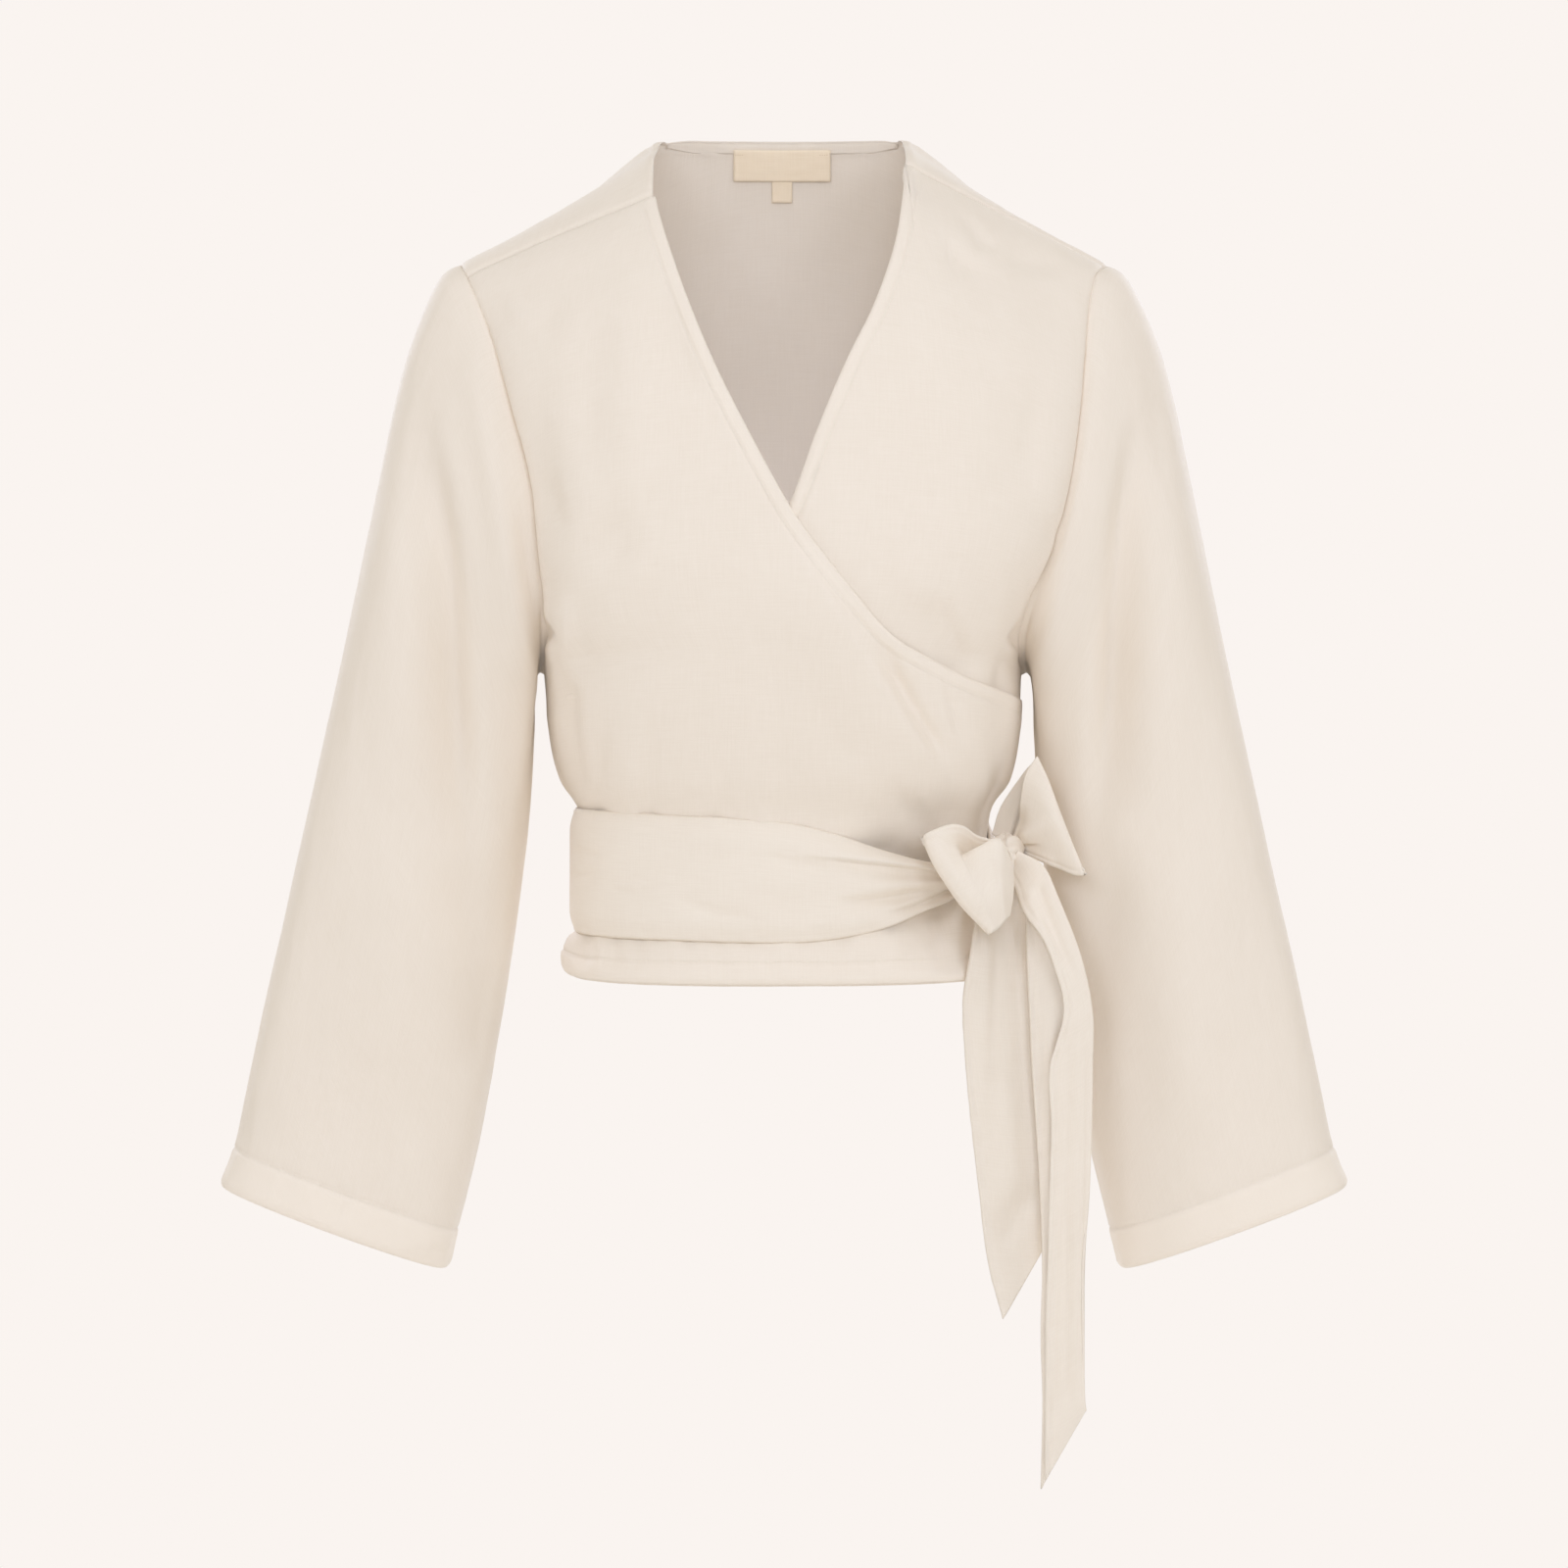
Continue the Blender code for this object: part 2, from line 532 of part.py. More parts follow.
def main():
    for old in list(bpy.data.objects):
        bpy.data.objects.remove(old)
    garment = bpy.data.collections.new(GARMENT)
    bpy.context.scene.collection.children.link(garment)
    shell = material("cloth", CREAM, 0.85)
    tie = material("tie_cloth", CREAM_LIGHT, 0.85)
    label = material("label_cloth", LABEL_TAN, 0.75)

    front_panel("front_over", -1, OVER_EDGE, shell)
    front_panel("front_under", 1, UNDER_EDGE, shell)
    back_panel(shell)
    sleeve("sleeve_right", -1, shell)
    sleeve("sleeve_left", 1, shell)
    back_neck_trim("neck_facing", FACING["width"], FACING["drop"], FACING["height"], 1, 9, shell)
    back_neck_trim("neck_label", LABEL["width"], LABEL["drop"], LABEL["height"], 2, 5, label)
    back_neck_trim("size_tab", SIZE_TAB["width"], SIZE_TAB["drop"], SIZE_TAB["height"], 1, 3, label)
    waist_tie(tie)
    knot(tie)
    strip("bow_loop_front", LOOP_FRONT, tie)
    strip("bow_loop_back", LOOP_BACK, tie)
    strip("tie_end_short", TAIL_SHORT, tie)
    strip("tie_end_long", TAIL_LONG, tie)


main()
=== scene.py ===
"""The looks of the wrap top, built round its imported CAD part.

Every panel repeats its solid's form at a finer grid, as a thin shell with turned hems, sunken
seams, folds and stitches. +Z is up, the front faces -Y and the wearer's right is at -X. Lengths
are in metres, apart from the rows of the tables.
"""

import math

import bpy
import numpy as np
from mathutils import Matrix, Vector


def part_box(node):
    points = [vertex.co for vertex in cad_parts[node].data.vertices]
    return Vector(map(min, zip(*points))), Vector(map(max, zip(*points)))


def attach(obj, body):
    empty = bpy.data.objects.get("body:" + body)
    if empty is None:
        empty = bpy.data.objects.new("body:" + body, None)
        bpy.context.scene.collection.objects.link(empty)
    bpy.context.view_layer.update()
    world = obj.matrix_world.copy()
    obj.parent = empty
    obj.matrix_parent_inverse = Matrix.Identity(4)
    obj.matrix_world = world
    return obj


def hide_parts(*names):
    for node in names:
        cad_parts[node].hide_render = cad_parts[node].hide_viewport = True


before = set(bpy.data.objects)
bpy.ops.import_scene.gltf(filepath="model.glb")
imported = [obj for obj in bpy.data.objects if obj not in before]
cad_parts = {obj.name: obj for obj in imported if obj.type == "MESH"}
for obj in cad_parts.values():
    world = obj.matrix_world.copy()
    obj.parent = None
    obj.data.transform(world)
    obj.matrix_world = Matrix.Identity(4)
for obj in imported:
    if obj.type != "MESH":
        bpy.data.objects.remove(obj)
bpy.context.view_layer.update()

SHELL = 0.0006  # one layer of cloth
TURN = 0.0010  # from the outer layer of a hem to the layer turned up inside it
FRONT_STEP = 0.0030  # from the under front out to the over front
TIE_LIFT = 0.0056  # from the torso's surface out to the waist tie
TIE_SHELL = 0.0011  # the tie's two layers together
TIE_STITCH = 0.0030  # from the tie's edges to their stitches
TIE_WIDTH = 0.0730
TIE_CELLS = 0.0013, 0.0024  # the waist tie's grid, across it and along it
TRIM_SHELL = 0.0005  # the neck facing, and the ribbons of the label and the size tab
SEAM_S = 1 - 0.0012  # a panel's border, just inside its side seam
TOP_V = 2 - 0.0008  # a panel's border, just below the top of its seam
NOT_LENGTHS = "v q n front_n back_n ring keep turn full0 full1 taper".split()


def table(columns, *rows):
    """A table as {column name: array}. Its rows give lengths in millimetres, which become metres."""
    found = {}
    for i, name in enumerate(columns.split()):
        values = np.array([row[i] for row in rows], float)
        found[name] = values if name in NOT_LENGTHS else values / 1000
    return found


# The torso below the underarm, from the hem (v 0) to the underarm (v 1).
LOWER = table(
    "v z_side y_side x_right x_left front_y front_z front_n back_y back_z back_n",
    (0, -494, 0, 134, 134, -108, -499, 2.4, 94, -495, 2.3),
    (0.14, -470, 0, 125, 125, -100, -472, 2.3, 84, -470, 2.2),
    (0.34, -434, 0, 122.5, 122.5, -96, -436, 2.2, 78, -434, 2.2),
    (0.54, -398, 0, 125, 125, -99, -400, 2.3, 80, -398, 2.2),
    (0.64, -379, 1, 137, 137, -108, -379, 2.4, 88, -378, 2.2),
    (0.82, -348, 2, 144, 143, -117, -343, 2.5, 96, -344, 2.3),
    (1, -315, 4, 146, 145, -122, -302, 2.5, 100, -302, 2.3),
)
# The torso above the underarm, from the underarm (q 0) up the front, over the ridge and down the back.
UPPER = table(
    "q side_y side_z x_right x_left mid_y mid_z n",
    (0, 4, -315, 146, 145, -122, -302, 2.5),
    (0.07, -36, -299, 142, 141, -124, -282, 2.5),
    (0.13, -57, -273, 140, 143, -124, -255, 2.5),
    (0.19, -63, -240, 143.5, 157, -119, -218, 2.4),
    (0.26, -62, -200, 149, 168, -109, -168, 2.1),
    (0.33, -53, -157, 161, 175, -96, -113, 1.8),
    (0.4, -37, -113, 175, 181, -76, -58, 1.4),
    (0.46, -16, -73, 193, 189, -46, -1, 1.08),
    (0.5, 8, -63.5, 198, 198, -3, 46, 1),
    (0.55, 32, -78, 188, 188, 36, 57, 1.15),
    (0.61, 54, -106, 174, 174, 56.5, 50, 1.5),
    (0.7, 71, -153, 161, 161, 83, -40, 2.1),
    (0.79, 77, -204, 153, 153, 96, -117, 2.3),
    (0.88, 68, -257, 148, 148, 102, -190, 2.3),
    (0.94, 45, -296, 146.5, 146, 102, -245, 2.3),
    (1, 4, -315, 146, 145, 100, -302, 2.3),
)
SEAM_Q = {-1: 0.462, 1: 0.490}  # where the shoulder seams end, on the right and on the left
SLEEVE_FULLNESS = 0.75  # the power that squares a sleeve's oval; 1 is a true oval
RIDGE_V = 1.92  # the ridge of the shoulders, on the back
TIE_V = 0.64  # the level where the fronts' grid begins to fan out

OVER_EDGE = table(
    "z x",
    (-345, 180),
    (-331, 146),
    (-319, 111),
    (-306, 84),
    (-294, 64),
    (-274, 45.5),
    (-238, 17),
    (-216.5, 2.5),
    (-171, -22),
    (-133.5, -40.5),
    (-95, -56.5),
    (-65, -67),
    (-37.5, -75.5),
    (-18, -79.5),
    (10, -81),
)
UNDER_EDGE = table(
    "z x",
    (-345, -180),
    (-331, -146),
    (-318, -106),
    (-305, -80),
    (-294, -59),
    (-274, -40),
    (-238, -11),
    (-216.5, 3),
    (-171, 20),
    (-128, 38),
    (-95, 54),
    (-57, 67),
    (-23.6, 73),
    (0, 75),
    (20, 75.5),
)
BACK_NECK_Z = 0.021
NECK_ROUND = 0.0060  # how far below the neck's edge its rounded corners begin
BACK_NECK = table(
    "q x_right x_left",
    (0.462, 80, 75),
    (0.5, 80.5, 75.2),
    (0.55, 79, 74.5),
    (0.58, 77, 73.5),
    (0.61, 73.5, 71),
)
NECK_STITCH = 0.0075  # from the back neck's edge down to the groove of its stitches
# The neck facing, the label and the size tab. drop is from the back neck's edge, lift is off the
# inside of the back, curl is what the top edge loses of it, and taper is what the ends lose of the
# height.
TRIM = table(
    "width height drop lift curl taper",
    (145, 7, 0.4, 0.9, 0.9, 0.35),
    (61, 19, 5, 1.8, 0, 0),
    (12.8, 27, 10, 1.3, 0, 0),
)
FACING, LABEL, SIZE_TAB = ({name: column[i] for name, column in TRIM.items()} for i in range(3))

SLEEVE = table(
    "ring outer_x outer_z inner_x inner_z mid_y front back keep",
    (0, 196, -66, 146, -315, 2, 66, 74, 1),
    (1, 210, -76, 149.5, -312.5, 2, 67, 74, 0.93),
    (2, 227.5, -112, 151.5, -315.5, 1, 67, 72, 0.68),
    (3, 238.5, -150, 152, -318.5, 0, 66, 70, 0.44),
    (4, 249, -201, 152.5, -323, -1, 64, 67, 0.22),
    (5, 261, -261, 153, -332, -2, 60, 63, 0.08),
    (6, 273, -321, 153.5, -353, -3, 57, 59, 0),
    (7, 286.5, -381, 156.5, -404, -4, 54, 55, 0),
    (8, 299.5, -441, 163.5, -462, -6, 52, 52, 0),
    (9, 313, -501, 173, -525, -8, 50, 50, 0),
    (10, 325, -558, 185, -593, -10, 48, 48, 0),
    (11, 334, -600.5, 198.5, -650, -12, 47, 46, 0),
    (12, 343, -624, 204.5, -675, -13, 47, 46, 0),
)


def read(columns, key, value):
    """Every column of a table at values of its key column, by a smooth curve through the rows."""
    at = columns[key]
    value = np.clip(np.asarray(value, float), at.min(), at.max())
    i = np.clip(np.searchsorted(at, value) - 1, 0, len(at) - 2)
    step = at[i + 1] - at[i]
    t = (value - at[i]) / step
    rows = np.arange(len(at))
    low, high = np.maximum(rows - 1, 0), np.minimum(rows + 1, len(at) - 1)
    found = {}
    for name, col in columns.items():
        slope = (col[high] - col[low]) / (at[high] - at[low])
        found[name] = (
            (2 * t**3 - 3 * t**2 + 1) * col[i]
            + (t**3 - 2 * t**2 + t) * step * slope[i]
            + (3 * t**2 - 2 * t**3) * col[i + 1]
            + (t**3 - t**2) * step * slope[i + 1]
        )
    return found


def smooth(low, high, x):
    """0 at low and 1 at high, with a soft start and end. low may be the greater of the two."""
    t = np.clip((x - low) / (high - low), 0, 1)
    return t * t * (3 - 2 * t)


def bell(x, width):
    """1 at x 0, falling off softly on both sides of it."""
    return np.exp(-((x / width) ** 2))


def unit(vectors):
    return vectors / np.maximum(np.linalg.norm(vectors, axis=-1, keepdims=True), 1e-12)


def back_q(climb, seam):
    """The q of UPPER at a climb of 0 to 1 up the back, over the ridge and on to the shoulder seam."""
    ridge = RIDGE_V - 1
    past_ridge = 0.5 - (0.5 - seam) * (climb - ridge) / (1 - ridge)
    return np.where(climb <= ridge, 1 - 0.5 * climb / ridge, past_ridge)


def torso(face, s, v):
    """Points of the torso. s runs from -1 at the wearer's right seam to 1 at the left one."""
    s, v = np.broadcast_arrays(np.asarray(s, float), np.asarray(v, float))
    climb = np.clip(v - 1, 0, 1)
    seam = np.where(s < 0, SEAM_Q[-1], SEAM_Q[1])
    front_q = SEAM_Q[-1] * climb + (seam - SEAM_Q[-1]) * climb**4
    q = front_q if face == "front" else back_q(climb, seam)
    low, high, above = read(LOWER, "v", v), read(UPPER, "q", q), v > 1

    def pick(over, under):
        return np.where(above, high[over], low[under])

    half = np.where(s < 0, pick("x_right", "x_right"), pick("x_left", "x_left"))
    side_y, side_z = pick("side_y", "y_side"), pick("side_z", "z_side")
    mid_y, mid_z = pick("mid_y", face + "_y"), pick("mid_z", face + "_z")
    power = pick("n", face + "_n")
    angle = np.abs(s) * math.pi / 2
    across, forward = np.sin(angle), np.maximum(np.cos(angle), 1e-9)
    size = (np.maximum(across, 1e-9) ** power + forward**power) ** (-1 / power)
    across, forward = across * size * np.sign(s), forward * size
    y = side_y + (mid_y - side_y) * forward
    z = side_z + (mid_z - side_z) * forward
    return np.stack([half * across, y, z], -1)


def outward(face, s, v):
    """Unit normals of the torso, away from the body."""
    step = 2e-3
    s, v = np.broadcast_arrays(np.asarray(s, float), np.asarray(v, float))
    along = torso(face, s + step, v) - torso(face, s - step, v)
    up = torso(face, s, np.minimum(v + step, 2)) - torso(face, s, np.maximum(v - step, 0))
    return unit(np.cross(along, up)) * (1 if face == "front" else -1)


def crossing(past, low, high):
    """Where past turns from false to true between low and high, for each element."""
    low, high = np.array(low, float), np.array(high, float)
    at_low, at_high = past(low), past(high)
    first, last = low.copy(), high.copy()
    for _ in range(34):
        middle = (low + high) / 2
        is_past = past(middle)
        high, low = np.where(is_past, middle, high), np.where(is_past, low, middle)
    found = (low + high) / 2
    return np.where(at_low, first, np.where(at_high, found, last))


def walk(points, axis=0):
    """The distance walked through a grid of points along one of its axes."""
    steps = np.linalg.norm(np.diff(points, axis=axis), axis=-1)
    return np.insert(np.cumsum(steps, axis), 0, 0, axis)


def shares(length, fine_ends, cell):
    """Shares of a length, cell apart in the middle and closer near the ends in fine_ends."""
    near = np.array([0.0, 0.0012, 0.0026, 0.0044, 0.0066]) / length
    start = near if fine_ends[0] else np.zeros(1)
    end = 1 - (near[::-1] if fine_ends[1] else np.zeros(1))
    count = max(int(round((end[0] - start[-1]) * length / cell)), 2)
    return np.concatenate([start, np.linspace(start[-1], end[0], count + 1)[1:-1], end])


def material(name, colour):
    """A plain matt material."""
    made = bpy.data.materials.new(name)
    made.use_nodes = True
    shader = made.node_tree.nodes["Principled BSDF"]
    shader.inputs["Base Color"].default_value = colour
    shader.inputs["Roughness"].default_value = 0.7
    return made


def add_object(name, mesh):
    """Puts a mesh in the scene as a smooth piece that rides on the frame."""
    mesh.shade_smooth()
    made = bpy.data.objects.new(name, mesh)
    bpy.context.scene.collection.objects.link(made)
    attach(made, "root")
    return made


def grid_piece(
    name, points, finish, thickness=SHELL, closed=False, keep=None, uv=None, doubled=None
):
    """A shell over a grid of points, in the place of the CAD node that its name begins with."""
    rows, columns = points.shape[:2]
    index = np.arange(rows * columns).reshape(rows, columns)
    right = np.roll(index, -1, 1) if closed else index[:, 1:]
    left = index if closed else index[:, :-1]
    faces = np.stack([left[:-1], right[:-1], right[1:], left[1:]], -1).reshape(-1, 4)
    if keep is not None:
        faces = faces[keep.reshape(-1)[faces].all(1)]
    mesh = bpy.data.meshes.new(name)
    mesh.from_pydata(points.reshape(-1, 3).tolist(), [], faces.tolist())
    layer = mesh.uv_layers.new(name="cloth")
    corner = np.zeros(len(mesh.loops), np.int64)
    mesh.loops.foreach_get("vertex_index", corner)
    layer.data.foreach_set("uv", uv.reshape(-1, 2)[corner].reshape(-1).astype(np.float32))
    if doubled is not None:
        layer = mesh.attributes.new("doubled", "FLOAT", "POINT")
        layer.data.foreach_set("value", doubled.reshape(-1).astype(np.float32))
    mesh.materials.append(finish)
    made = add_object(name, mesh)
    solid = made.modifiers.new("shell", "SOLIDIFY")
    solid.thickness = thickness
    solid.offset = 0
    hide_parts(name.rsplit("_", 1)[0])
    return made


def noise(x, y, seed):
    """Smooth value noise from -1 to 1 with a cell of 1."""
    i, j = np.floor(x), np.floor(y)
    a, b = x - i, y - j
    a, b = a * a * (3 - 2 * a), b * b * (3 - 2 * b)

    def corner(p, q):
        value = np.sin((i + p) * 127.1 + (j + q) * 311.7 + seed * 74.7) * 43758.5453
        return 2 * (value - np.floor(value)) - 1

    low = corner(0, 0) + (corner(1, 0) - corner(0, 0)) * a
    high = corner(0, 1) + (corner(1, 1) - corner(0, 1)) * a
    return low + (high - low) * b


def folds(rows, x, z):
    """The height of soft folds at points seen from the front or the back.

    A fold runs from (x0, z0) to (x1, z1) and bows sideways by bow in its middle. left and right
    are its widths on either side of its line, taken in its own direction. It is at full height
    from the share full0 of its length to the share full1, and fades out past them."""
    height = np.zeros_like(x)
    for k in range(len(rows["x0"])):
        row = {name: column[k] for name, column in rows.items()}
        dx, dz = row["x1"] - row["x0"], row["z1"] - row["z0"]
        length = math.hypot(dx, dz)
        t = ((x - row["x0"]) * dx + (z - row["z0"]) * dz) / length**2
        off = ((x - row["x0"]) * dz - (z - row["z0"]) * dx) / length
        off = off - row["bow"] * 4 * t * (1 - t)
        width = np.where(off < 0, row["left"], row["right"])
        fade = smooth(-0.02, row["full0"], t) * smooth(1.02, row["full1"], t)
        height += row["height"] * bell(off, width) * fade
    return height


# The waist tie, wound from the knot across the front, round the wearer's right side and the back,
# and home to the knot. turn is in degrees: 0 the middle of the front, 90 the right side seam.
TIE_RUN = table(
    "turn top bottom",
    (-66, -426, -438),
    (-58, -429, -444),
    (-50, -429.5, -450),
    (-40, -427.5, -456),
    (-27, -420.5, -466),
    (-13, -410.5, -472),
    (0, -404.5, -474),
    (35, -400, -472.5),
    (90, -397, -470),
    (180, -398, -471),
    (250, -400, -470),
    (268, -409, -464),
    (286, -423, -440),
)


def under_tie(face, s, z):
    """1 where the waist tie covers a panel, 0 where it is bare."""
    at = read(TIE_RUN, "turn", -90 * s if face == "front" else 180 + 90 * s)
    below_top = smooth(at["top"] - 0.001, at["top"] - 0.009, z)
    return below_top * smooth(at["bottom"] - 0.003, at["bottom"] + 0.003, z)


FOLD_COLUMNS = "x0 z0 x1 z1 bow left right height full0 full1"
OVER_FOLDS = table(
    FOLD_COLUMNS,
    # a small fold below the shoulder seam
    (-170, -86, -147, -108, 0, 4, 7, 1.2, 0.4, 0.6),
    (-136, -88, -144, -112, 0, 7, 6, -0.7, 0.4, 0.6),
    # long soft drapes down from the shoulder
    (-108, -80, -116, -210, 1, 10, 14, -1.3, 0.3, 0.6),
    (-148, -120, -134, -250, 3, 10, 14, -1.4, 0.4, 0.6),
    (-130, -130, -112, -250, 2, 12, 16, 1.4, 0.4, 0.6),
    (-73, -80, -50, -160, 2, 8, 16, -1.8, 0.3, 0.6),
    (-88, -110, -92, -230, 3, 20, 22, 1.4, 0.4, 0.6),
    # the bust's soft shade
    (-125, -228, -80, -236, 4, 18, 22, -2.6, 0.5, 0.5),
    (-140, -190, -128, -236, 3, 6, 9, -0.9, 0.4, 0.6),
    # the underarm
    (-150, -262, -134, -296, 3, 3, 8, -3, 0.3, 0.8),
    (-134, -262, -130, -330, -3, 6, 14, 2.2, 0.4, 0.6),
    (-128, -310, -122, -392, 3, 6, 12, -2.2, 0.3, 0.8),
    # ridge and trough that run with the wrap edge
    (2, -232, 98, -385, 3, 8, 34, 3.4, 0.3, 0.8),
    (54, -296, 98, -371, 1, 5, 6, -2.6, 0.3, 0.7),
    (95, -322, 106.5, -362, 0, 4, 2, -1.2, 0.3, 0.6),
    (20, -318, 42, -372, 3, 12, 12, -1, 0.4, 0.8),
    # the soft folds beside the side seams
    (134, -280, 128.5, -405, 1, 6, 7, -1, 0.3, 0.8),
    (-137, -285, -126, -405, 1, 6, 9, -0.9, 0.3, 0.8),
    # gathers above the tie
    (-104, -320, -112, -410, 2, 6, 9, -1.2, 0.6, 0.9),
    (-90, -350, -93, -410, -1, 6, 7, 0.8, 0.6, 0.9),
    (-76, -330, -79, -410, 2, 4, 6, -0.9, 0.6, 0.9),
    (-36, -340, -40, -410, -2, 8, 10, -0.7, 0.6, 0.9),
    (-8, -345, -14, -412, 1, 8, 10, 0.7, 0.6, 0.9),
    # the hollow beside the bow, deepest where the tie's top edge crosses it
    (30, -424, 108, -446, 0, 26, 20, -9, 0.5, 0.9),
    (60, -372, 98, -420, 2, 5, 9, -1.2, 0.4, 0.8),
)
UNDER_FOLDS = table(
    FOLD_COLUMNS,
    (106, -30, 128, -60, 1, 3, 6, -1.2, 0.3, 0.7),
    (94, -52, 122, -78, 1, 4, 7, -1.2, 0.3, 0.7),
    (128, -68, 176, -66, -4, 9, 10, -2, 0.4, 0.6),
    (110, -110, 116, -230, 3, 18, 22, 1.2, 0.4, 0.6),
    (150, -130, 140, -220, -3, 8, 12, -1.4, 0.4, 0.6),
    (174, -226, 152, -234, 1, 4, 6, -1.4, 0.4, 0.6),
    (84, -266, 110, -320, -2, 8, 14, -2.6, 0.3, 0.8),
    (136, -270, 133, -345, 0, 6, 6, -1, 0.3, 0.8),
    (70, -240, 100, -290, 2, 14, 12, 2, 0.4, 0.6),
    (148, -258, 136, -300, -3, 8, 3, -2.8, 0.3, 0.8),
    (136, -300, 130, -345, 2, 6, 7, -2, 0.3, 0.7),
    (128, -350, 136, -392, 2, 6, 7, 1.6, 0.3, 0.7),
)
BACK_FOLDS = table(
    FOLD_COLUMNS,
    (-120, -100, -126, -240, 3, 16, 18, -2, 0.3, 0.6),
    (124, -110, 120, -230, -3, 14, 18, -1.8, 0.3, 0.6),
    (-60, -70, -74, -200, 3, 18, 20, 1.6, 0.4, 0.6),
    (52, -80, 60, -210, -3, 18, 22, 1.5, 0.4, 0.6),
    (-150, -250, -96, -330, -6, 8, 14, -2.6, 0.2, 0.7),
    (150, -252, 90, -338, 6, 14, 8, -2.6, 0.2, 0.7),
    (-98, -300, -94, -400, 3, 7, 9, 2.2, 0.4, 0.9),
    (-80, -320, -78, -402, 1, 6, 8, -2.4, 0.5, 0.9),
    (-60, -290, -60, -402, -2, 8, 9, 2, 0.5, 0.9),
    (-38, -330, -40, -402, 2, 6, 8, -2.2, 0.5, 0.9),
    (-14, -300, -12, -402, 2, 8, 10, 2, 0.5, 0.9),
    (10, -335, 10, -402, -1, 6, 8, -2.2, 0.5, 0.9),
    (34, -305, 32, -402, -2, 8, 9, 2.2, 0.5, 0.9),
    (58, -325, 56, -402, 1, 7, 8, -2.4, 0.5, 0.9),
    (82, -300, 84, -400, 2, 8, 8, 2, 0.5, 0.9),
    (104, -335, 102, -400, 1, 6, 7, -2, 0.5, 0.9),
)
HEM_GATHERS = table(
    FOLD_COLUMNS,
    (-117, -470, -120, -500, 1, 3, 4, -1.2, 0, 0.5),
    (-110, -468, -108, -498, 1, 3, 3, 1, 0, 0.5),
    (-101, -470, -100, -494, 0, 3, 3, -1.2, 0, 0.4),
    (-84, -470, -85, -492, 1, 3, 4, -1, 0, 0.4),
    (-64, -470, -62, -498, 1, 4, 6, 1, 0, 0.5),
    (-36, -470, -38, -494, 1, 4, 4, -0.9, 0, 0.4),
    (2, -470, 0, -500, 1, 6, 6, 1, 0, 0.5),
    (36, -470, 38, -500, 1, 5, 7, -1.2, 0, 0.5),
    (66, -468, 70, -498, 1, 5, 6, 1.2, 0, 0.5),
    (94, -466, 100, -500, 2, 6, 8, -1.6, 0, 0.6),
)

FOLD_DEPTH = 1.7  # how much deeper the folds lie than their rows say
CELL = 0.0042  # the grids' usual spacing
SHOULDER_POINTS = 60  # along the top of a front, from the side seam to the neck
TOP_ROWS = np.array([0, 1.1, 2.4, 3.8, 5.4, 6.8, 8.0, 9.2, 11, 13.5, 17]) / 1000
EDGE_STITCH = 6  # the row of TOP_ROWS that the wrap edge's stitches follow
HEM_ROWS = np.array([0, 1.2, 2.6, 4.5, 6.5, 8.5, 10, 11.0, 12.2, 14, 17]) / 1000
HEM_STITCH = 7  # the row of HEM_ROWS that the hem's stitches follow
CUFF_ROWS = np.array([0, 1.2, 2.6, 5, 8, 11, 14, 17, 20, 22.4, 24.0, 25.6, 28, 31]) / 1000
CUFF_STITCH = 10  # the row of CUFF_ROWS that the cuff's stitches follow
ALLOWANCE = np.array([1.6, 3.4, 5.4]) / 1000  # how deep an allowance's rows lie inside a seam
TURNED_ROWS = (0, 2, 4, 6, 7)  # the rows of a hem that the layer turned up inside it repeats
DOUBLED_BODY, DOUBLED_CUFF = 0.25, 0.70  # the paler colour's share where less shows through the cloth


def drape(x, z, seed):
    """The small unevenness of hanging cloth, longer than it is wide."""
    return (
        0.00035 * noise(x / 0.024, z / 0.11, seed)
        + 0.00018 * noise(x / 0.010, z / 0.040, seed + 3)
        + 0.00007 * noise(x / 0.004, z / 0.009, seed + 7)
    )


def sunk(distance, along, seed):
    """How far cloth sinks into a seam, and the puckers beside it."""
    pucker = noise(along / 0.009, along * 0 + seed, seed) * 0.00032 * np.exp(-distance / 0.007)
    return pucker - 0.0010 * np.exp(-((distance / 0.0017) ** 1.5))


def stitched(distance, line, along, seed):
    """The groove of a line of stitches, the puckers it draws in and the doubled cloth beside it."""
    off = distance - line
    pucker = noise(along / 0.007, along * 0 + seed, seed)
    reach = np.where(off > 0, 0.0035, 0.012)
    doubled = 0.00045 * smooth(0.0012, -0.0016, off)
    rolled = 0.0016 * np.maximum(1 - distance / 0.0036, 0) ** 2
    return 0.00055 * pucker * bell(off, reach) + doubled - 0.00085 * bell(off, 0.0011) - rolled


def lined(distance, line):
    """1 between an edge and its line of stitches, where the cloth is doubled, and 0 past them."""
    return smooth(0.0005, -0.0005, distance - line)


def blouson(s, z):
    """The fullness of the side seams between the tie and the hem, which stands out below the tie."""
    level = smooth(-0.468, -0.477, z) * smooth(-0.500, -0.484, z)
    return 0.0058 * level * smooth(0.72, 0.97, np.abs(s))


def armhole_fill(v, from_seam):
    """How far panel and sleeve stand out together along the upper armhole, where cloth bridges it."""
    return 0.0045 * smooth(1.05, 1.35, v) * smooth(1.99, 1.80, v) * bell(from_seam, 0.028)


def armhole_normal(side, face, v):
    """The mean of the normals of a panel and its sleeve where they are sewn together."""
    v = np.clip(v, 1, 1.999)
    angle = math.pi * (2 - v) * (1 if face == "front" else -1)
    down = sleeve_point(side, 0.35, angle) - sleeve_point(side, 0.0, angle)
    round_it = sleeve_point(side, 0.0, angle + 0.03) - sleeve_point(side, 0.0, angle - 0.03)
    own = unit(np.cross(round_it, down)) * side
    return unit(own + outward(face, side * 0.97 + 0 * v, v))


